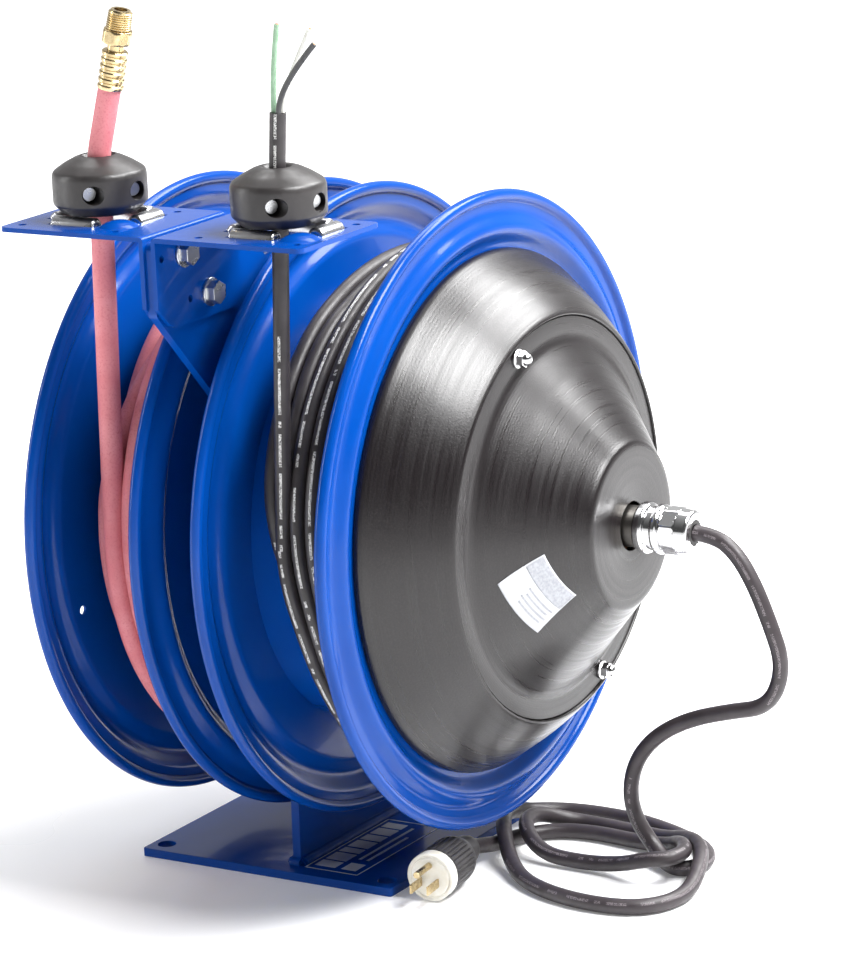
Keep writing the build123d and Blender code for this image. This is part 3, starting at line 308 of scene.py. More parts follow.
class Finish:
    """A Principled material with helpers for its procedural detail."""

    def __init__(self, name, colour, rough, metallic=0.0, coat=0.0, coat_rough=0.05, specular=0.5):
        self.material = bpy.data.materials.new(name)
        self.material.use_nodes = True
        self.tree = self.material.node_tree
        self.shader = self.tree.nodes["Principled BSDF"]
        self.shader.inputs["Base Color"].default_value = (*colour, 1)
        self.shader.inputs["Roughness"].default_value = rough
        self.shader.inputs["Metallic"].default_value = metallic
        self.shader.inputs["Coat Weight"].default_value = coat
        self.shader.inputs["Coat Roughness"].default_value = coat_rough
        self.shader.inputs["Specular IOR Level"].default_value = specular
        self.colour = colour
        self.place = self.node("ShaderNodeTexCoord").outputs["Object"]
        self.normal = None

    def node(self, kind, **settings):
        made = self.tree.nodes.new(kind)
        for key, value in settings.items():
            setattr(made, key, value)
        return made

    def link(self, output, target):
        self.tree.links.new(output, target)

    def noise(self, scale, detail, place=None):
        """Return a noise value, at so many features a metre."""
        made = self.node("ShaderNodeTexNoise")
        made.inputs["Scale"].default_value = scale
        made.inputs["Detail"].default_value = detail
        made.inputs["Roughness"].default_value = 0.55
        self.link(place or self.place, made.inputs["Vector"])
        return made.outputs["Fac"]

    def maths(self, operation, first, second=0.0):
        """Combine two values, or a value and a number."""
        made = self.node("ShaderNodeMath", operation=operation)
        for socket, value in zip(made.inputs, (first, second)):
            if isinstance(value, (int, float)):
                socket.default_value = value
            else:
                self.link(value, socket)
        return made.outputs["Value"]

    def ramp(self, value, low, high, out_low, out_high):
        """Map a value from one range to another."""
        return map_range(self.tree, value, low, high, out_low, out_high)

    def cover(self, other, share):
        """Lay another colour over the present one, by a share from 0 to 1."""
        mix = self.node("ShaderNodeMix", data_type="RGBA")
        current = self.shader.inputs["Base Color"]
        if current.links:
            self.link(current.links[0].from_socket, mix.inputs["A"])
        else:
            mix.inputs["A"].default_value = (*self.colour, 1)
        mix.inputs["B"].default_value = (*other, 1)
        self.link(share, mix.inputs["Factor"])
        self.link(mix.outputs["Result"], current)

    def mottle(self, other, scale, low=0.35, high=0.65):
        """Vary the colour towards another one."""
        self.cover(other, self.ramp(self.noise(scale, 4.0), low, high, 0, 1))

    def uneven_gloss(self, scale, low, high, place=None):
        """Vary the roughness between two values."""
        uneven = self.ramp(self.noise(scale, 3.0, place), 0.3, 0.7, low, high)
        self.link(uneven, self.shader.inputs["Roughness"])

    def relief(self, value, strength, depth):
        """Add bump from a value, over any bump already there."""
        made = self.node("ShaderNodeBump")
        made.inputs["Strength"].default_value = strength
        made.inputs["Distance"].default_value = depth
        self.link(value, made.inputs["Height"])
        if self.normal:
            self.link(self.normal, made.inputs["Normal"])
        self.normal = made.outputs["Normal"]
        self.link(self.normal, self.shader.inputs["Normal"])

    def grain(self, scale, strength, depth, place=None):
        """Add noise bump."""
        self.relief(self.noise(scale, 3.0, place), strength, depth)

    def scaled_place(self, x, y, z):
        """Return the object's coordinates stretched along each axis."""
        mapping = self.node("ShaderNodeMapping")
        mapping.inputs["Scale"].default_value = (x, y, z)
        self.link(self.place, mapping.inputs["Vector"])
        return mapping.outputs["Vector"]

    def about_axis(self):
        """Return the distances along the reel axis and out from it."""
        parts = self.node("ShaderNodeSeparateXYZ")
        self.link(self.place, parts.inputs["Vector"])
        height = self.maths("SUBTRACT", parts.outputs["Z"], AXIS_HEIGHT)
        squares = [self.maths("POWER", side, 2.0) for side in (height, parts.outputs["Y"])]
        return parts.outputs["X"], self.maths("SQRT", self.maths("ADD", *squares))

    def spun_lines(self, pitch, strength, depth):
        """Add fine rings about the reel axis, as left by metal spinning."""
        radius = self.about_axis()[1]
        rings = self.maths("SINE", self.maths("MULTIPLY", radius, 2 * math.pi / pitch))
        self.relief(self.maths("MULTIPLY", rings, self.noise(25, 2.0)), strength, depth)

    def turned_place(self, share):
        """Return coordinates whose noise runs in rings about the reel axis."""
        along, radius = self.about_axis()
        ring = self.node("ShaderNodeCombineXYZ")
        self.link(radius, ring.inputs["X"])
        self.link(along, ring.inputs["Y"])
        shrunk = self.node("ShaderNodeVectorMath", operation="SCALE")
        self.link(self.place, shrunk.inputs[0])
        shrunk.inputs["Scale"].default_value = share
        both = self.node("ShaderNodeVectorMath", operation="ADD")
        self.link(ring.outputs["Vector"], both.inputs[0])
        self.link(shrunk.outputs["Vector"], both.inputs[1])
        return both.outputs["Vector"]

    def chance(self, value, steps, blank):
        """Return 1 where a number drawn at each step of a value is over the blank share, or 0."""
        drawn = self.node("ShaderNodeTexWhiteNoise", noise_dimensions="1D")
        self.link(self.maths("FLOOR", self.maths("MULTIPLY", value, steps)), drawn.inputs["W"])
        return self.maths("GREATER_THAN", drawn.outputs["Value"], blank)

    def printed_line(self, ink):
        """Print a line of small random marks down a cord, in words with gaps. They spell nothing."""
        where = self.node("ShaderNodeUVMap", uv_map="along")
        parts = self.node("ShaderNodeSeparateXYZ")
        self.link(where.outputs["UV"], parts.inputs["Vector"])
        along, around = parts.outputs["X"], parts.outputs["Y"]
        cell = self.node("ShaderNodeCombineXYZ")
        for side, value, steps in (("X", along, MARKS_PER_METRE), ("Y", around, MARKS_ROUND)):
            self.link(self.maths("FLOOR", self.maths("MULTIPLY", value, steps)), cell.inputs[side])
        marks = self.node("ShaderNodeTexWhiteNoise", noise_dimensions="2D")
        self.link(cell.outputs["Vector"], marks.inputs["Vector"])
        inked = self.maths("GREATER_THAN", marks.outputs["Value"], MARK_GAPS)
        off_centre = self.maths("ABSOLUTE", self.maths("SUBTRACT", around, 0.5))
        for limit in (
            self.chance(along, WORDS_PER_METRE, WORD_GAPS),
            self.chance(along, LINES_PER_METRE, LINE_GAPS),
            self.maths("LESS_THAN", off_centre, PRINT_HALF_WIDTH),
        ):
            inked = self.maths("MULTIPLY", inked, limit)
        self.cover(ink, inked)


def make_finishes():
    """Return every material by name."""
    made = {}

    def keep(name, *look, **more):
        finish = Finish(name, *look, **more)
        made[name] = finish.material
        return finish

    blue = keep("blue_paint", (0.0004, 0.054, 0.30), 0.14, coat=0.16, coat_rough=0.03, specular=0.13)
    blue.mottle((0.0004, 0.044, 0.26), 14, 0.3, 0.75)
    blue.uneven_gloss(30, 0.14, 0.26)
    blue.grain(220, 0.06, 0.0004)
    blue.grain(1400, 0.05, 0.0001)

    pan = keep(
        "black_powder_coat", (0.0045, 0.0030, 0.0036), 0.30, coat=0.15, coat_rough=0.2, specular=0.42
    )
    pan.mottle((0.012, 0.009, 0.010), 900, 0.45, 0.7)
    pan.uneven_gloss(300, 0.24, 0.40, place=pan.turned_place(0.02))
    pan.spun_lines(0.0015, 0.25, 0.00006)
    pan.grain(800, 0.22, 0.0005)

    zinc = keep("zinc_steel", (0.60, 0.61, 0.62), 0.28, metallic=1)
    zinc.mottle((0.50, 0.51, 0.53), 60)
    zinc.uneven_gloss(90, 0.22, 0.34)
    zinc.grain(600, 0.03, 0.0001)

    axle = keep("axle_steel", (0.42, 0.40, 0.37), 0.33, metallic=1)
    axle.mottle((0.30, 0.28, 0.26), 60)
    axle.grain(2600, 0.25, 0.0001, place=axle.scaled_place(1, 0.03, 0.03))

    roller = keep("roller_steel", (0.52, 0.52, 0.53), 0.30, metallic=1)
    roller.mottle((0.42, 0.42, 0.44), 90)
    roller.uneven_gloss(60, 0.22, 0.32)
    roller.grain(400, 0.02, 0.0001)

    chrome = keep("chrome", (0.82, 0.82, 0.83), 0.09, metallic=1)
    chrome.uneven_gloss(150, 0.05, 0.15)
    chrome.grain(300, 0.02, 0.0001)

    bronze = keep("bronze", (0.42, 0.25, 0.12), 0.42, metallic=1)
    bronze.mottle((0.30, 0.17, 0.08), 800)
    bronze.grain(2500, 0.3, 0.0001)

    brass = keep("brass", (0.62, 0.50, 0.29), 0.28, metallic=1)
    brass.mottle((0.50, 0.38, 0.20), 140)
    brass.uneven_gloss(260, 0.16, 0.36)
    brass.grain(900, 0.05, 0.0001)

    spring = keep("spring_steel", (0.20, 0.21, 0.25), 0.36, metallic=1)
    spring.mottle((0.13, 0.14, 0.20), 50)
    spring.grain(1400, 0.1, 0.0001)

    hose = keep("red_hose", (0.60, 0.175, 0.20), 0.55, specular=0.35)
    hose.mottle((0.68, 0.26, 0.28), 28, 0.35, 0.7)
    hose.mottle((0.53, 0.14, 0.17), 700, 0.5, 0.75)
    hose.uneven_gloss(120, 0.46, 0.66)
    hose.grain(1300, 0.25, 0.0003)
    hose.grain(90, 0.12, 0.0008)

    cord = keep("black_cord", (0.019, 0.016, 0.018), 0.40, specular=0.45)
    cord.mottle((0.034, 0.030, 0.032), 35)
    cord.uneven_gloss(160, 0.34, 0.55)
    cord.grain(1600, 0.22, 0.0002)
    cord.grain(120, 0.15, 0.0006)
    cord.printed_line((0.62, 0.62, 0.61))

    lead = keep("lead_cord", (0.030, 0.024, 0.027), 0.42, specular=0.45)
    lead.mottle((0.046, 0.038, 0.042), 30)
    lead.uneven_gloss(140, 0.36, 0.55)
    lead.grain(1600, 0.22, 0.0002)
    lead.grain(120, 0.15, 0.0006)
    lead.printed_line((0.17, 0.15, 0.16))

    rubber = keep("black_rubber", (0.022, 0.021, 0.022), 0.6)
    rubber.mottle((0.040, 0.038, 0.038), 300)
    rubber.grain(1800, 0.25, 0.0002)

    stopper = keep("stopper_plastic", (0.017, 0.015, 0.015), 0.36, coat=0.1, coat_rough=0.3)
    stopper.mottle((0.027, 0.024, 0.024), 60)
    stopper.uneven_gloss(200, 0.33, 0.50)
    stopper.grain(2200, 0.25, 0.0001)

    insulator = keep("insulator", (0.16, 0.075, 0.04), 0.5)
    insulator.mottle((0.10, 0.045, 0.025), 400)
    insulator.grain(1500, 0.2, 0.0001)

    for name, colour, other in (
        ("wire_green", (0.20, 0.34, 0.22), (0.27, 0.42, 0.29)),
        ("wire_white", (0.72, 0.72, 0.68), (0.62, 0.62, 0.58)),
        ("wire_black", (0.025, 0.025, 0.027), (0.045, 0.045, 0.047)),
    ):
        wire = keep(name, colour, 0.42)
        wire.mottle(other, 150)
        wire.grain(1500, 0.12, 0.0001)

    copper = keep("copper", (0.80, 0.36, 0.20), 0.3, metallic=1)
    copper.mottle((0.60, 0.25, 0.14), 900)
    copper.grain(2500, 0.2, 0.0001)

    plug = keep("plug_black", (0.030, 0.028, 0.030), 0.5)
    plug.mottle((0.050, 0.047, 0.049), 120)
    plug.grain(1700, 0.3, 0.0002)

    ivory = keep("plug_ivory", (0.80, 0.79, 0.74), 0.34, coat=0.15)
    ivory.mottle((0.72, 0.69, 0.60), 120)
    ivory.grain(1500, 0.08, 0.0001)

    label = keep("label", (0.58, 0.59, 0.62), 0.36)
    label.mottle((0.50, 0.51, 0.55), 60)
    label.grain(900, 0.04, 0.0001)

    grey = keep("label_ink", (0.28, 0.29, 0.32), 0.45)
    grey.mottle((0.38, 0.39, 0.42), 500)
    return made


FINISH = make_finishes()


# ---------------------------------------------------------------- camera, light and floor


def make_camera():
    """Set the camera where the reference view was taken from."""
    azimuth, elevation, roll = (math.radians(v) for v in (31.997, 14.253, -2.659))
    target = Vector((0.08194, 0.0, 0.27138))
    distance = 2.90574
    back = Vector(
        (
            math.sin(azimuth) * math.cos(elevation),
            -math.cos(azimuth) * math.cos(elevation),
            math.sin(elevation),
        )
    )
    right = (-back).cross(Z_AXIS).normalized()
    up = right.cross(-back)
    level = right * math.cos(roll) + up * math.sin(roll)
    lift = up * math.cos(roll) - right * math.sin(roll)
    data = bpy.data.cameras.new("camera")
    data.lens = 156.438
    data.sensor_width = 36.0
    data.clip_start = 0.05
    data.clip_end = 60.0
    camera = placed("camera", data)
    turn = Matrix((level, lift, back)).transposed().to_4x4()
    camera.matrix_world = Matrix.Translation(target + back * distance) @ turn
    bpy.context.scene.camera = camera


def area_light(name, place, aim, size, power):
    """Add a soft box that shines at a point."""
    data = bpy.data.lights.new(name, "AREA")
    data.shape = "RECTANGLE"
    data.size, data.size_y = size
    data.energy = power
    light = placed(name, data)
    light.location = place
    light.rotation_mode = "QUATERNION"
    light.rotation_quaternion = (Vector(aim) - Vector(place)).to_track_quat("-Z", "Y")


def make_world():
    """Surround the reel with a dim room, brighter behind it and along the horizon."""
    world = bpy.data.worlds.new("studio")
    world.use_nodes = True
    tree = world.node_tree
    place = tree.nodes.new("ShaderNodeTexCoord")
    facing = tree.nodes.new("ShaderNodeVectorMath")
    facing.operation = "DOT_PRODUCT"
    facing.inputs[1].default_value = (-0.50, 0.80, 0.10)
    tree.links.new(place.outputs["Generated"], facing.inputs[0])
    dim, bright = 0.07, 0.62
    level = map_range(tree, facing.outputs["Value"], -0.5, 0.8, dim, bright)
    parts = tree.nodes.new("ShaderNodeSeparateXYZ")
    tree.links.new(place.outputs["Generated"], parts.inputs["Vector"])
    horizon = map_range(tree, parts.outputs["Z"], 0.10, 0.20, 1.0, 0.0)
    brighter = tree.nodes.new("ShaderNodeMath")
    brighter.operation = "MAXIMUM"
    tree.links.new(level, brighter.inputs[0])
    tree.links.new(horizon, brighter.inputs[1])
    tree.links.new(brighter.outputs["Value"], tree.nodes["Background"].inputs["Color"])
    tree.nodes["Background"].inputs["Strength"].default_value = 1.0
    bpy.context.scene.world = world


def make_floor():
    """Lay a white floor that glows softly away from the reel, like a lit backdrop."""
    paper = Finish("floor_white", (0.93, 0.93, 0.935), 0.28, specular=0.45)
    paper.uneven_gloss(3, 0.24, 0.34)
    flat = paper.node("ShaderNodeVectorMath", operation="DISTANCE")
    flat.inputs[1].default_value = (0.1, 0.0, 0.0)
    paper.link(paper.place, flat.inputs[0])
    near, far = 0.30, 1.3
    glow = paper.ramp(flat.outputs["Value"], near, far, 0.14, 0.80)
    paper.shader.inputs["Emission Color"].default_value = (1, 1, 1, 1)
    paper.link(glow, paper.shader.inputs["Emission Strength"])
    reach = 30.0
    corners = [(-reach, -reach, 0), (reach, -reach, 0), (reach, reach, 0), (-reach, reach, 0)]
    mesh_object("floor", corners, [(0, 1, 2, 3)], paper.material)


def make_studio():
    """Add the room, the floor and the soft studio lights."""
    make_world()
    make_floor()
    centre = (0.08, 0.0, 0.25)
    area_light("key_right_top", (1.58, 0.05, 2.25), centre, (1.3, 1.1), 140)
    area_light("key_back", (0.95, 1.5, 2.05), centre, (1.2, 1.0), 75)
    area_light("left_front", (-2.0, -1.3, 1.0), centre, (0.16, 1.6), 20)
    area_light("top_back", (-0.4, 0.9, 2.3), centre, (1.6, 0.7), 30)
    bpy.context.scene.view_settings.view_transform = "Standard"
    bpy.context.scene.view_settings.look = "None"


make_camera()
make_studio()


# ---------------------------------------------------------------- free input cord


CORD_ROUTE = [
    (297, 0, 255), (313, 0, 254), (327, 0, 244), (339, 0, 226),
    (350, 1, 199), (360, 2, 168), (348, 3, 138), (315, 5, 130),
    (284, 8, 120), (256, 12, 104), (236, 17, 82), (226, 24, 55),
    (226, 33, 31), (239, 35, 12), (256, 21, 5.7), (271, 19, 5.7),
    (278, 38, 5.7), (267, 61, 5.7), (245, 76, 5.7), (223, 87, 5.7),
    (195, 97, 5.7), (162, 101, 5.7), (131, 97, 6), (111, 74, 10),
    (113, 42, 19), (132, 8, 20), (153, -20, 9), (177, -44, 5.7),
    (207, -60, 5.7), (240, -67, 5.7), (272, -64, 5.7), (290, -47, 5.7),
    (294, -20, 5.7), (289, 6, 13), (277, 33, 19), (257, 52, 17),
    (234, 64, 9), (210, 74, 5.7), (178, 78, 5.7), (150, 74, 8),
    (133, 50, 19), (141, 20, 20), (165, 3, 8), (196, 3, 5.7),
    (228, 1, 9), (254, -7, 19), (271, 0, 20), (272, 19, 20),
    (258, 38, 18), (238, 52, 8), (208, 58, 5.7), (178, 62, 5.7),
    (150, 57, 5.7), (130, 36, 5.7), (126, 5, 7.5), (127, -30, 18),
]


def route_line(route):
    """Return the line of the smooth spline through a route given in millimetres."""
    data = bpy.data.curves.new("route", "CURVE")
    data.dimensions = "3D"
    data.resolution_u = 12
    spline = data.splines.new("NURBS")
    spline.points.add(len(route) - 1)
    for point, (x, y, z) in zip(spline.points, route):
        point.co = (x * MM, y * MM, z * MM, 1.0)
    spline.order_u = 3
    spline.use_endpoint_u = True
    holder = placed("route", data)
    graph = bpy.context.evaluated_depsgraph_get()
    mesh = bpy.data.meshes.new_from_object(holder.evaluated_get(graph))
    line = [v.co.copy() for v in mesh.vertices]
    bpy.data.objects.remove(holder)
    bpy.data.meshes.remove(mesh)
    return line


def make_plug():
    """Return the plug's body, face and blades."""
    heading = Vector((7.0, -60.0, 0.0)).normalized()
    start = Vector((0.127, -0.030, 0.018)) + heading * 0.002
    across = Z_AXIS.cross(heading)
    directions = (heading, across, Z_AXIS)
    length = 0.056
    ribs, groove_depth = 30, 0.0011
    grip_start, grip_end = 0.0282, 0.0550
    outline = rounded(
        [(0.0, 0.0056), (0.0, 0.0088), (0.005, 0.0104), (0.015, 0.0114), (0.0235, 0.0162),
         (0.027, 0.0168)],
        0.0025,
        closed=False,
    )
    outline += [(0.0285, 0.0170), (0.0300, 0.0171), (0.0535, 0.0174), (0.0555, 0.0172)]
    outline += [(length, 0.0166), (length, 0.0056)]
    body = lathe("plug_body_finish", outline, FINISH["plug_black"], 240, start, directions)
    # Sink grooves between the grip's ribs
    for vertex in body.data.vertices:
        offset = vertex.co - start
        along = offset.dot(heading)
        out = offset - heading * along
        if grip_start < along < grip_end and out.length > 0.012:
            angle = math.atan2(out.dot(Z_AXIS), out.dot(across))
            groove = max(0.0, math.cos(ribs * angle)) ** 3
            vertex.co -= out.normalized() * groove_depth * groove
    creases(body, 30)
    face_outline = rounded(
        [(0.0562, 0.0), (0.0562, 0.0172), (0.0655, 0.0172), (0.0655, 0.0150), (0.0648, 0.0143),
         (0.0655, 0.0136), (0.0655, 0.0)],
        0.0012,
        closed=False,
    )
    face = lathe(
        "plug_face_finish", face_outline, FINISH["plug_ivory"], 120, start, directions, closed=False
    )
    blades = softened("plug_blades", 0.0003, FINISH["brass"])
    belongs(body, "root", "plug_black", "plug_body")
    belongs(face, "root", "plug_ivory", "plug_face")
    belongs(blades, "root", "brass")
    return [body, face, blades]


def make_input_cord(plug_pieces):
    """Lay the free cord along its route."""
    path = resampled(route_line(CORD_ROUTE), 0.0017)
    cord = tube(
        "input_cord_jacket", path, CORD_RADIUS, FINISH["lead_cord"],
        sides=28, start_turn=(-0.2, 0.9, -0.3),
    )
    belongs(cord, "root", "black_cord", "input_cord")


make_input_cord(make_plug())


# ---------------------------------------------------------------- flanges


# Radii where the pressed ring starts, is highest and ends, and its height
RING_START, RING_TOP, RING_END = 0.1835, 0.1955, 0.2085
RING_HEIGHT = 0.0058
PEEP_HOLE_RADIUS = 0.1738
PEEP_HOLE_ANGLE = math.radians(197.75)


def flange_lift(radius):
    """Return how far the pressed ring stands out of the flange at a radius."""
    if radius <= RING_START or radius >= RING_END:
        return 0.0
    if radius < RING_TOP:
        share = (radius - RING_START) / (RING_TOP - RING_START)
    else:
        share = (RING_END - radius) / (RING_END - RING_TOP)
    return RING_HEIGHT * (0.5 - 0.5 * math.cos(math.pi * share))


def flange_outline(sheet_x, outward):
    """Return the outline of a flange: hub edge, flat disc, pressed ring and rolled bead."""
    half = 0.001
    bead_middle = FLANGE_RADIUS - BEAD_RADIUS
    radii = [0.0241, 0.05, 0.09, 0.13, 0.16, 0.175, 0.182]
    radii += list(np.linspace(RING_START, RING_END, 26)) + [0.2105, 0.2120, 0.2130]
    outer = [(sheet_x + outward * (half + flange_lift(r)), r) for r in radii]
    inner = [(sheet_x + outward * (flange_lift(r) - half), r) for r in reversed(radii)]
    bead = []
    first, steps = math.radians(24), 28
    for step in range(steps + 1):
        angle = first + (2 * math.pi - 2 * first) * step / steps
        x = sheet_x + outward * BEAD_RADIUS * math.sin(angle)
        bead.append((x, bead_middle - BEAD_RADIUS * math.cos(angle)))
    # The rolled edge ends in a thin seam on the inner side
    seam = [(bead[-1][0] - outward * 0.0002, bead[-1][1] - 0.0003), (sheet_x - outward * half, 0.2136)]
    return outer + bead + seam + inner


def make_flanges():
    """Make the four flanges, the left one with its peep hole."""
    for node, (sheet_x, outward) in FLANGES.items():
        outline = flange_outline(sheet_x, outward)
        flange = lathe(node + "_pressing", outline, FINISH["blue_paint"], LARGE_TURN)
        if node == "hose_outer_flange":
            y = PEEP_HOLE_RADIUS * math.cos(PEEP_HOLE_ANGLE)
            z = AXIS_HEIGHT + PEEP_HOLE_RADIUS * math.sin(PEEP_HOLE_ANGLE)
            ends = [(sheet_x + side * 0.01, y, z) for side in (-1, 1)]
            cut(flange, bar("cutter", *ends, 0.00325, FINISH["blue_paint"]))
            creases(flange)
        belongs(flange, node.split("_")[0] + "_drum", "blue_paint", node)


make_flanges()


# ---------------------------------------------------------------- spring case and cover


def make_cases():
    """Make the dished pan, the cone cover and the hose reel's spring case."""
    pan = [
        (0.1390, 0.1812), (0.1415, 0.1822), (0.1450, 0.1812), (0.1490, 0.1782), (0.1560, 0.1732),
        (0.1640, 0.1674), (0.1720, 0.1612), (0.1790, 0.1552), (0.1855, 0.1494), (0.1905, 0.1447),
        (0.1930, 0.1420), (0.1938, 0.1403), (0.1930, 0.1394), (0.1910, 0.1390), (0.1910, 0.0985),
        (0.1890, 0.0985), (0.1890, 0.1380),
        (0.1868, 0.1440), (0.1770, 0.1535), (0.1620, 0.1655), (0.1480, 0.1758), (0.1410, 0.1792),
    ]
    pan = rounded(pan, 0.0016, steps=2)
    turned("cord_spring_case_pan", pan, "cord_drum", "black_powder_coat", "cord_spring_case")
    cover = [
        (0.1913, 0.1388), (0.1924, 0.1386), (0.1926, 0.1262), (0.1932, 0.1234), (0.1948, 0.1203),
        (0.1975, 0.1168), (0.2090, 0.1026), (0.2270, 0.0816), (0.2400, 0.0661), (0.2452, 0.0600),
        (0.2482, 0.0571),
        (0.2490, 0.0540), (0.2490, 0.0168), (0.2470, 0.0168), (0.2470, 0.0538), (0.2400, 0.0625),
        (0.2255, 0.0797), (0.2075, 0.1004), (0.1945, 0.1150), (0.1913, 0.1190),
    ]
    cover = rounded(cover, 0.0022, steps=3)
    turned("slip_ring_cover_cone", cover, "cord_drum", "black_powder_coat", "slip_ring_cover")
    case = [
        (-0.0962, 0.1418), (-0.0980, 0.1420), (-0.0980, 0.1300), (-0.1385, 0.1240), (-0.1410, 0.1205),
        (-0.1410, 0.0700), (-0.1398, 0.0690), (-0.1398, 0.0330), (-0.1410, 0.0320), (-0.1410, 0.0168),
        (-0.1390, 0.0168), (-0.1390, 0.1180), (-0.0962, 0.1270),
    ]
    case = rounded(case, 0.0020, steps=3)
    turned("hose_spring_case_drum", case, "hose_drum", "black_powder_coat", "hose_spring_case", 240)


make_cases()


# ---------------------------------------------------------------- wound hose and cord


def smooth_rows(rows, samples):
    """Pass a smooth curve through rows of (turn, x, radius)."""
    table = np.array(rows, float)
    turns = np.linspace(table[0, 0], table[-1, 0], samples)
    slopes = np.gradient(table[:, 1:], table[:, 0], axis=0)
    index = np.clip(np.searchsorted(table[:, 0], turns, side="right") - 1, 0, len(table) - 2)
    width = table[index + 1, 0] - table[index, 0]
    t = ((turns - table[index, 0]) / width)[:, None]
    width = width[:, None]
    low = table[index, 1:]
    high = table[index + 1, 1:]
    value = (
        (2 * t**3 - 3 * t**2 + 1) * low
        + (t**3 - 2 * t**2 + t) * width * slopes[index]
        + (3 * t**2 - 2 * t**3) * high
        + (t**3 - t**2) * width * slopes[index + 1]
    )
    return turns, value[:, 0] * MM, value[:, 1] * MM


def winding_line(rows, start, spacing):
    """Return the line of a strand wound on a drum, walking in from where it leaves the drum."""
    first_angle = math.atan2(start[2] - AXIS_HEIGHT, start[1])
    usual_radius = 0.18
    length = (rows[-1][0] - rows[0][0]) * 2 * math.pi * usual_radius
    turns, xs, radii = smooth_rows(rows, int(length / spacing))
    angles = first_angle + turns * 2 * math.pi
    ys = radii * np.cos(angles)
    zs = AXIS_HEIGHT + radii * np.sin(angles)
    return np.stack([xs, ys, zs], axis=1)


HOSE_ROWS = [
    (0.0, -53, 179), (0.05, -53, 179), (0.1, -53, 179), (0.17, -52.5, 179), (0.25, -50, 179),
    (0.4, -42, 179), (0.55, -33, 179), (0.7, -24, 179), (0.8, -22, 179), (0.87, -22.5, 179),
    (0.9, -22.8, 179), (0.94, -22.5, 179), (0.98, -22, 179), (1.02, -22, 179), (1.1, -22, 179),
    (1.2, -20.5, 179), (1.25, -19.5, 179), (1.4, -18.5, 178), (1.48, -18.5, 175), (1.58, -19, 167),
    (1.65, -22, 164.5), (1.7, -26, 164.5), (1.78, -34, 167), (1.83, -38, 173), (1.87, -38.5, 178),
    (1.9, -38.5, 179), (1.94, -38.5, 179), (1.98, -38, 179), (2.02, -37.5, 179), (2.1, -37.5, 179),
    (2.17, -37, 179), (2.25, -34.7, 178.5), (2.32, -32, 175), (2.4, -30.5, 168.5), (2.48, -29, 164),
    (2.55, -33, 163.5), (2.65, -38, 163.5), (2.7, -42, 163.5), (2.78, -47, 163.5), (2.83, -47, 164),
    (2.87, -48, 166), (2.9, -53, 168), (2.94, -60, 168), (2.979, -66, 166.5), (3.0, -67, 165.5),
    (3.04, -66.5, 165), (3.09, -64, 164.5), (3.15, -61, 164), (3.25, -58, 163.5), (3.5, -55, 163.5),
    (3.65, -58, 163.5), (3.75, -63, 163), (3.85, -66, 159), (3.95, -64, 152), (4.05, -60, 147.5),
    (5.0, -45, 146), (6.0, -29, 146), (6.7, -18.5, 146), (7.0, -18, 138), (7.3, -20, 130),
    (8.3, -36, 129.8), (9.3, -52, 129.8), (9.9, -61, 129.8),
]
CORD_ROWS = [
    (0.0, 89.5, 187), (0.023, 93, 187), (0.045, 98, 187), (0.08, 103.5, 187), (0.15, 110, 187),
    (0.25, 113, 187), (0.5, 112, 187), (0.75, 103, 187), (0.865, 98, 187), (0.92, 97, 187),
    (0.96, 98.5, 187), (1.0, 102, 187), (1.045, 110, 187), (1.1, 116, 187), (1.25, 124, 187),
    (1.5, 123.5, 187), (1.75, 114.5, 187), (1.865, 109.5, 187), (1.95, 110, 187), (2.0, 113.5, 187),
    (2.045, 121, 187), (2.1, 127, 187), (2.25, 131, 184), (2.5, 131, 182), (2.75, 126, 186),
    (2.865, 121, 187), (2.95, 121.5, 187), (3.0, 124.5, 187), (3.045, 129.5, 186), (3.1, 131, 182),
    (3.25, 131, 176.5), (3.5, 127, 175.6), (3.75, 120, 175.6), (4.0, 113, 175.6), (4.5, 104, 175.6),
    (4.75, 93, 177), (4.84, 88, 182), (4.865, 86.5, 185), (4.90, 86, 186), (4.94, 86.5, 182),
    (4.97, 88, 178), (5.0, 91, 176), (5.045, 99, 176), (5.1, 104, 175.6), (5.25, 101, 175.6),
    (5.5, 95, 175.8), (5.75, 84, 179), (5.84, 77, 184), (5.865, 75, 185.5), (5.90, 74.8, 186.5),
    (5.94, 74.6, 185.5), (5.972, 76, 182), (6.0, 80, 176.5), (6.023, 84.5, 170), (6.045, 89, 166),
    (6.08, 95, 164.8), (6.25, 99, 164.4), (7.0, 90, 164.4), (8.0, 102, 164.4), (9.0, 114, 164.4),
    (10.0, 126, 164.4), (10.5, 131, 160), (11.0, 126, 153.3), (12.0, 114, 153.3),
]


def make_windings():
    """Wind the hose and the cord on their drums."""
    hose = winding_line(HOSE_ROWS, HOSE_START, 0.0045)
    strand("wound_hose_turns", hose, HOSE_RADIUS, "hose_drum", "red_hose", "wound_hose", sides=22)
    cord = winding_line(CORD_ROWS, CORD_START, 0.0034)
    strand(
        "wound_cord_turns", cord, CORD_RADIUS, "cord_drum", "black_cord", "wound_cord",
        sides=22, start_turn=(0.0, 0.95, 0.0),
    )


def make_run(reel, start, radius, slot):
    """Make the straight stretch from the winding to the stopper."""
    end = Vector((start[0], GUIDE_Y, STOPPER_BOTTOM - 0.0006))
    line = resampled([start, end], 0.0026)
    name = reel + "_run_stretch"
    run = tube(name, line, radius, FINISH[slot], sides=28, start_turn=SEAM_SIDE)
    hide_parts(reel + "_run")
    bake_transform(run)


make_windings()
make_run("hose", HOSE_START, HOSE_RADIUS, "red_hose")
make_run("cord", CORD_START, CORD_RADIUS, "black_cord")


# ---------------------------------------------------------------- hose and cord ends


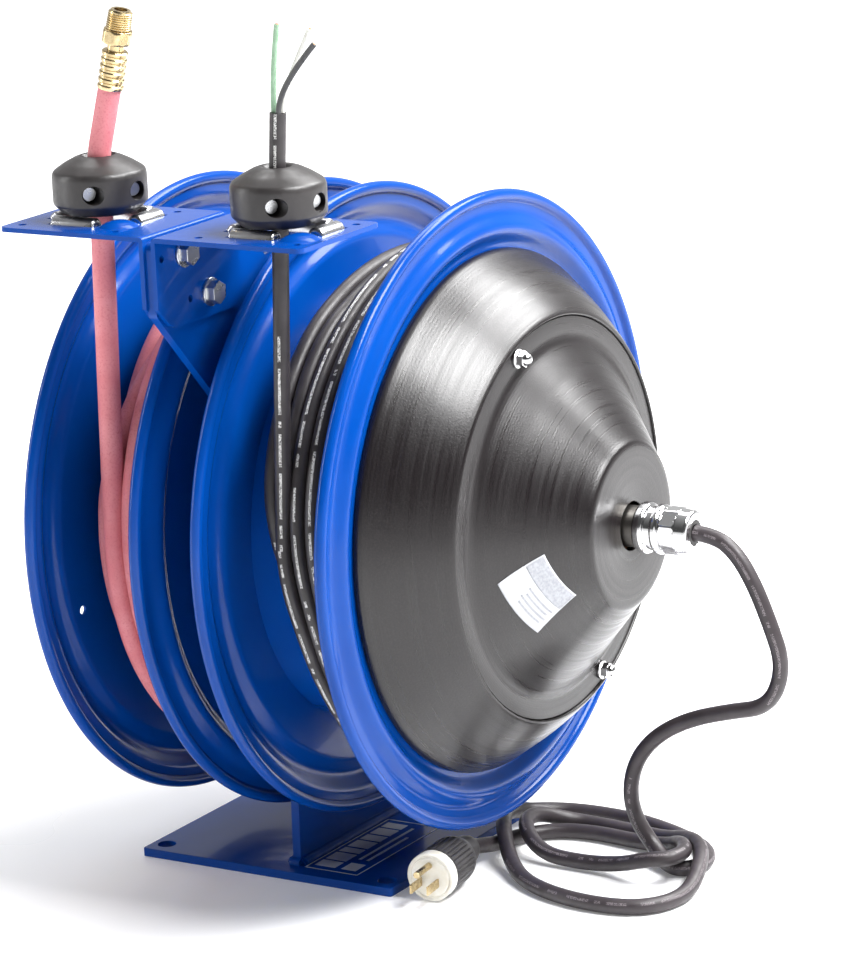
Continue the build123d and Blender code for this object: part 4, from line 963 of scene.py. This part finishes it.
def leaning_line(x, bend_z, top_z, lean_degrees):
    """Return a smooth line that leaves a stopper upright and then leans over."""
    lean = math.tan(math.radians(lean_degrees))
    points = [(x, GUIDE_Y, STOPPER_BOTTOM)]
    for step in range(1, 9):
        z = STOPPER_BOTTOM + (bend_z - STOPPER_BOTTOM) * step / 8
        points.append((x, GUIDE_Y, z))
    bend, count = 0.020, 24
    for step in range(1, count + 1):
        rise = (top_z - bend_z) * step / count
        shift = lean * (rise - bend / 2) if rise > bend else lean * rise * rise / bend / 2
        shift += lean * bend / 2 * step / count
        points.append((x + shift, GUIDE_Y, bend_z + rise))
    return resampled(points, 0.002)


# Where the tails start to bend, where they end, and how far they lean
BEND_HEIGHT = 0.512
HOSE_TOP, HOSE_LEAN = 0.580, 13.5
CORD_TOP, CORD_LEAN = 0.558, 3.6


def tail_end(x, top_z, lean_degrees):
    """Return the middle of a tail's upper end."""
    return Vector((x + math.tan(math.radians(lean_degrees)) * (top_z - BEND_HEIGHT), GUIDE_Y, top_z))


def make_hose_end():
    """Make the hose tail, its crimped ferrule and its threaded adapter."""
    tail = leaning_line(HOSE_GUIDE_X, BEND_HEIGHT, HOSE_TOP, HOSE_LEAN)
    strand("hose_tail_stretch", tail, HOSE_RADIUS, "hose_end", "red_hose", "hose_tail", sides=28)
    angle = math.radians(HOSE_LEAN)
    lean = Vector((math.sin(angle), 0, math.cos(angle)))
    directions = (lean, Y_AXIS, lean.cross(Y_AXIS))
    top = tail_end(HOSE_GUIDE_X, HOSE_TOP, HOSE_LEAN)
    outline = [(-0.012, 0.0078), (-0.012, 0.0086), (-0.0112, 0.00885)]
    for ring in range(5):
        low = -0.0098 + ring * 0.0046
        outline += [(low, 0.0088), (low + 0.0009, 0.0081), (low + 0.0021, 0.0081), (low + 0.0030, 0.0088)]
    outline += [(0.0132, 0.0088), (0.0140, 0.0080), (0.0140, 0.0056), (0.0190, 0.0056)]
    hexagon = [
        (0.0190, 0.0050), (0.0190, 0.0094), (0.0205, 0.0102), (0.0270, 0.0102), (0.0285, 0.0094),
        (0.0285, 0.0050),
    ]
    thread = [(0.0280, 0.0040), (0.0280, 0.0074)]
    turns, pitch, depth = 8, 0.00150, 0.0009
    for turn in range(turns):
        low = 0.0290 + turn * pitch
        crest = 0.00845 - turn * 0.00006
        thread += [
            (low, crest - depth), (low + 0.00055, crest), (low + 0.00085, crest),
            (low + 0.00140, crest - depth),
        ]
    thread += [(0.0412, 0.0070), (0.0420, 0.0066), (0.0420, 0.0045), (0.0300, 0.0040)]
    brass = FINISH["brass"]
    ferrule = lathe("hose_ferrule", outline, brass, SMALL_TURN, top, directions, closed=False)
    nut = lathe("hose_adapter_hexagon", rounded(hexagon, 0.0004), brass, SMALL_TURN, top, directions)
    faceted(nut, top, directions, 6, 0.0095, 0.0, 1.0)
    creases(nut, 25)
    screw = lathe("hose_adapter_thread", thread, brass, SMALL_TURN, top, directions)
    for piece in (ferrule, nut, screw):
        belongs(piece, "hose_end", "brass", "hose_end_fitting")


def make_cord_end():
    """Make the cord tail and its three wires."""
    tail = leaning_line(CORD_GUIDE_X, BEND_HEIGHT, CORD_TOP, CORD_LEAN)
    strand(
        "cord_tail_stretch", tail, CORD_RADIUS, "cord_end", "black_cord", "cord_tail",
        sides=28, start_turn=SEAM_SIDE,
    )
    top = tail_end(CORD_GUIDE_X, CORD_TOP, CORD_LEAN)
    wires = (
        ("green", (-0.0030, 0.0), (0.0005, -0.001, 0.028), (0.0065, -0.001, 0.0575)),
        ("white", (0.0016, 0.0024), (0.0040, 0.003, 0.026), (0.0235, 0.002, 0.0545)),
        ("black", (0.0016, -0.0024), (0.0060, -0.003, 0.025), (0.0335, -0.004, 0.0470)),
    )
    sunk = 0.006
    for colour, foot, knee, tip in wires:
        start = top + Vector((foot[0], foot[1], -sunk))
        rise = start + Z_AXIS * 0.014
        bend = start + Vector(knee)
        end = start + Vector(tip) + Z_AXIS * sunk
        line = []
        for step in range(41):
            t = step / 40
            near = start * (1 - t) ** 3 + rise * 3 * t * (1 - t) ** 2
            line.append(tuple(near + bend * 3 * t * t * (1 - t) + end * t**3))
        wire = tube("wire_" + colour, line, 0.0019, FINISH["wire_" + colour], sides=16)
        belongs(wire, "cord_end", "wire_insulation", "conductors")
        heading = (Vector(line[-1]) - Vector(line[-2])).normalized()
        end = Vector(line[-1])
        ends = [end - heading * 0.002, end + heading * 0.0004]
        core = bar("wire_core_" + colour, *ends, 0.0011, FINISH["copper"], sides=14)
        belongs(core, "cord_end", "wire_insulation", "conductors")


make_hose_end()
make_cord_end()


# ---------------------------------------------------------------- stoppers


def make_stopper(reel, guide_x, radius, facing):
    """Make a stopper's two halves, with the screw pockets sunk in."""
    low, top, size = STOPPER_BOTTOM, 0.5235, 0.03175
    outline = [
        (low, radius + 0.0002), (low, size - 0.0075), (low + 0.0010, size - 0.0055),
        (low + 0.0065, size - 0.0003), (low + 0.0080, size), (top - 0.0130, size),
        (top - 0.0100, size - 0.0010), (top - 0.0050, size - 0.0085),
        (top - 0.0012, size - 0.0160), (top, size - 0.0200), (top - 0.0006, radius + 0.0042),
        (top - 0.0040, radius + 0.0016), (top - 0.0100, radius + 0.0003),
    ]
    directions = (Z_AXIS, X_AXIS, Y_AXIS)
    ball = lathe(
        reel + "_stopper_ball", rounded(outline, 0.0016, steps=3), FINISH["stopper_plastic"], 144,
        (guide_x, GUIDE_Y, 0), directions,
    )
    turn = math.radians(facing)
    heading = Vector((math.sin(turn), -math.cos(turn), 0))
    across = Vector((math.cos(turn), math.sin(turn), 0))
    middle = Vector((guide_x, GUIDE_Y, (low + top) / 2 - 0.0035))
    pocket_radius, pocket_floor, outside = 0.0064, 0.0150, 0.0400
    for offset in (-0.0157, 0.0157):
        for sign in (-1, 1):
            ends = [middle + across * offset + heading * sign * r for r in (pocket_floor, outside)]
            cut(ball, bar("cutter", *ends, pocket_radius, FINISH["stopper_plastic"], sides=48))
    # The joint between the two halves
    slit = mesh_object(
        "cutter",
        [
            Vector((guide_x, GUIDE_Y, z)) + across * a * 0.05 + heading * h * 0.0003
            for z in (low - 0.01, top + 0.01)
            for a, h in ((-1, -1), (1, -1), (1, 1), (-1, 1))
        ],
        BOX_FACES,
        FINISH["stopper_plastic"],
        smooth=False,
    )
    cut(ball, slit)
    creases(ball, 35)
    belongs(ball, reel + "_end", "stopper_plastic", reel + "_stopper")
    screws = softened(reel + "_stopper_screws", 0.0003, FINISH["zinc_steel"])
    belongs(screws, reel + "_end", "zinc_steel")


make_stopper("hose", HOSE_GUIDE_X, HOSE_RADIUS, 58.0)
make_stopper("cord", CORD_GUIDE_X, CORD_RADIUS, 61.0)


# ---------------------------------------------------------------- pieces that keep their CAD shape


def make_roller(node):
    """Make a guide roller with rounded ends in the place of its CAD node."""
    corners = [Vector(v.co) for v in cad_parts[node].data.vertices]
    low = Vector([min(c[k] for c in corners) for k in range(3)])
    high = Vector([max(c[k] for c in corners) for k in range(3)])
    span = high - low
    middle = (low + high) / 2
    lies_along_x = span.x > span.y
    half = (span.x if lies_along_x else span.y) / 2
    radius = span.z / 2
    directions = (X_AXIS, Y_AXIS, Z_AXIS) if lies_along_x else (Y_AXIS, X_AXIS, Z_AXIS)
    bore, chamfer, end_radius = 0.00157, 0.0012, radius * 0.72
    outline = [
        (-half, bore), (-half, end_radius), (-half + chamfer, radius), (half - chamfer, radius),
        (half, end_radius), (half, bore),
    ]
    steel = FINISH["roller_steel"]
    return lathe(node + "_sleeve", rounded(outline, 0.0008), steel, 72, middle, directions)


def make_cord_grip():
    """Make the chrome grip that holds the free cord: body, faceted nut and rubber bushing."""
    body = [
        (0.2565, 0.0062), (0.2565, 0.0166), (0.2580, 0.0176), (0.2622, 0.0176), (0.2636, 0.0168),
        (0.2646, 0.0150), (0.2690, 0.0150), (0.2692, 0.0062),
    ]
    body = rounded(body, 0.0005, steps=3)
    turned("cord_grip_body_turned", body, "root", "chrome", "cord_grip_body", 128)
    nut_outline = [
        (0.2693, 0.0110), (0.2693, 0.0160), (0.2702, 0.0170), (0.2735, 0.0170), (0.2745, 0.0157),
        (0.2762, 0.0157), (0.2772, 0.0167), (0.2868, 0.0167), (0.2882, 0.0158), (0.2950, 0.0153),
        (0.2964, 0.0145), (0.2970, 0.0130), (0.2968, 0.0088), (0.2900, 0.0083), (0.2720, 0.0083),
    ]
    nut_outline = rounded(nut_outline, 0.0004, steps=3)
    nut = turned("cord_grip_nut_turned", nut_outline, "root", "chrome", "cord_grip_nut", 144)
    axis = Vector((0, 0, AXIS_HEIGHT))
    faceted(nut, axis, (X_AXIS, Y_AXIS, Z_AXIS), 8, 0.0156, 0.2768, 0.2872)
    creases(nut, 22)
    bushing = [(0.2895, 0.0056), (0.2895, 0.0082), (0.2962, 0.0086), (0.2969, 0.0080), (0.2969, 0.0056)]
    bushing = rounded(bushing, 0.0006, steps=3)
    turned("cord_grip_bushing_turned", bushing, "root", "black_rubber", "cord_grip_bushing", SMALL_TURN)


def finish_cad_pieces():
    """Give each remaining CAD piece its finish, with rounded edges where they show."""
    kept = (
        ("base_plate", "root", "blue_paint", 0.0007),
        ("support_post", "root", "blue_paint", 0.0006),
        ("hose_guide_bracket", "root", "blue_paint", 0.0006),
        ("cord_guide_bracket", "root", "blue_paint", 0.0006),
        ("frame_fasteners", "root", "zinc_steel", 0.0004),
        ("hose_axle", "root", "axle_steel", 0.0004),
        ("cord_axle", "root", "axle_steel", 0.0004),
        ("air_inlet_fitting", "root", "brass", 0.0004),
        ("hose_barrel", "hose_drum", "blue_paint", 0.0004),
        ("cord_barrel", "cord_drum", "blue_paint", 0.0004),
        ("hose_hubs", "hose_drum", "zinc_steel", 0.0004),
        ("cord_hubs", "cord_drum", "zinc_steel", 0.0004),
        ("hose_drum_bolts", "hose_drum", "zinc_steel", 0.0003),
        ("cord_drum_bolts", "cord_drum", "zinc_steel", 0.0003),
        ("cover_nuts", "cord_drum", "chrome", 0.0003),
    )
    for node, body, slot, width in kept:
        belongs(softened(node, width, FINISH[slot]), body, slot)
    for reel in ("hose", "cord"):
        for place in ("front", "back", "left", "right"):
            node = reel + "_roller_" + place
            belongs(make_roller(node), node, "roller_steel", node)
        pawl = reel + "_pawl"
        belongs(softened(pawl, 0.0003, FINISH["zinc_steel"]), pawl, "zinc_steel")
    plain = {
        "roller_pins": "axle_steel",
        "brush_holder": "insulator",
        "hose_bushings": "bronze",
        "cord_bushings": "bronze",
        "hose_power_spring": "spring_steel",
        "cord_power_spring": "spring_steel",
        "swivel_manifold": "brass",
        "slip_ring_rotor": "insulator",
        "slip_rings": "brass",
    }
    for node, slot in plain.items():
        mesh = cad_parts[node].data
        mesh.materials.clear()
        mesh.materials.append(FINISH[slot])


finish_cad_pieces()
make_cord_grip()


# ---------------------------------------------------------------- weld beads


def make_weld(name, start, end, radius):
    """Make a rippled weld bead along a joint."""
    line = resampled([start, end], 0.0006)
    ripple = 0.0031

    def swell(distance):
        wave = (distance % ripple) / ripple
        wander = noise.noise(Vector((distance * 90, radius * 800, 0.3)))
        return 0.05 * math.sqrt(max(0.0, 1 - (2 * wave - 1) ** 2)) - 0.03 + 0.10 * wander

    bead = tube(name, line, radius, FINISH["blue_paint"], sides=20, start_turn=(0.1, 0.2, 0.97), bump=swell)
    belongs(bead, "root", "blue_paint")


for side in (-1, 1):
    wall = POST_X + side * POST_HALF
    make_weld(
        "foot_weld_left" if side < 0 else "foot_weld_right",
        (wall + side * 0.0008, -0.0815, PLATE_TOP + 0.0006),
        (wall + side * 0.0008, 0.0815, PLATE_TOP + 0.0006),
        0.0042,
    )
make_weld(
    "foot_weld_front",
    (POST_X - POST_HALF - 0.001, -0.0835, PLATE_TOP + 0.0006),
    (POST_X + POST_HALF + 0.001, -0.0835, PLATE_TOP + 0.0006),
    0.0036,
)


# ---------------------------------------------------------------- labels


COVER_SLOPE = [(0.1975, 0.1165), (0.2090, 0.1026), (0.2270, 0.0816), (0.2400, 0.0661)]
LABEL_X = 0.2210
LABEL_ANGLE = math.radians(-160.7)
LABEL_TURN = math.radians(21)


def cone_point(x, arc_angle, lift):
    """Return a point on the cone cover, lifted off its surface."""
    xs = [p[0] for p in COVER_SLOPE]
    rs = [p[1] for p in COVER_SLOPE]
    radius = float(np.interp(x, xs, rs))
    out = Vector((0, math.cos(arc_angle), math.sin(arc_angle)))
    normal = (X_AXIS * 0.76 + out * 0.65).normalized()
    return Vector((x, 0, AXIS_HEIGHT)) + out * radius + normal * lift


def cone_patch(name, half_width, half_height, offset, lift, slot, steps=18):
    """Make a label patch that follows the cone. offset is its middle on the label, in metres."""
    centre_x, centre_angle, turn = LABEL_X, LABEL_ANGLE, LABEL_TURN
    (first_x, first_r), (last_x, last_r) = COVER_SLOPE[0], COVER_SLOPE[-1]
    slope = math.hypot(last_x - first_x, last_r - first_r) / (last_x - first_x)
    radius = float(np.interp(centre_x, [p[0] for p in COVER_SLOPE], [p[1] for p in COVER_SLOPE]))
    verts = []
    for row in range(steps + 1):
        for column in range(steps + 1):
            u = offset[0] + half_width * (2 * column / steps - 1)
            v = offset[1] + half_height * (2 * row / steps - 1)
            a = u * math.cos(turn) - v * math.sin(turn)
            b = u * math.sin(turn) + v * math.cos(turn)
            verts.append(cone_point(centre_x + b / slope, centre_angle + a / radius, lift))
    faces = []
    for row in range(steps):
        for column in range(steps):
            here = row * (steps + 1) + column
            faces.append((here, here + 1, here + steps + 2, here + steps + 1))
    patch = mesh_object(name, verts, faces, FINISH[slot])
    solid = patch.modifiers.new("film", "SOLIDIFY")
    solid.thickness = 0.00015
    solid.offset = 0
    return belongs(patch, "cord_drum", "label")


def make_cover_label():
    """Stick a blank label with plain bars on the cone cover."""
    cone_patch("cover_label", 0.0235, 0.0185, (0, 0), 0.0004, "label")
    cone_patch("cover_label_panel", 0.0225, 0.0070, (0, 0.0105), 0.0007, "label_ink")
    for index in range(4):
        half_width = 0.0140 - 0.002 * (index % 2)
        middle = (0.0060, -0.0015 - 0.0036 * index)
        name = "cover_label_bar_" + str(index)
        cone_patch(name, half_width, 0.0007, middle, 0.0007, "label_ink", steps=10)


def base_patch(name, corners):
    """Make a flat label on the base plate from its four corners."""
    film = 0.0001
    verts = [(x * MM, y * MM, PLATE_TOP + lift) for lift in (film, 2 * film) for x, y in corners]
    belongs(mesh_object(name, verts, BOX_FACES, FINISH["label"], smooth=False), "root", "label")


def make_base_labels():
    """Lay the base plate's decal: a white frame round plain bars."""
    left, right, front, back = 25.0, 69.0, -87.0, 25.0
    edge = 1.2
    bars = [
        (left, right, front, front + edge), (left, right, back - edge, back),
        (left, left + edge, front, back), (right - edge, right, front, back),
        (51.0, 63.0, -80.0, -66.0), (51.5, 54.0, -58.0, 14.0), (58.0, 60.5, -58.0, -4.0),
    ]
    y = -80.0
    for width in (12.0, 15.0, 9.0, 14.0, 11.0, 13.0, 10.0):
        bars.append((29.0, 46.0, y, min(y + width, 19.0)))
        y += width + 2.4
    for index, (x0, x1, y0, y1) in enumerate(bars):
        corners = [(x0, y0), (x1, y0), (x1, y1), (x0, y1)]
        base_patch("base_decal_" + str(index), corners)


make_cover_label()
make_base_labels()
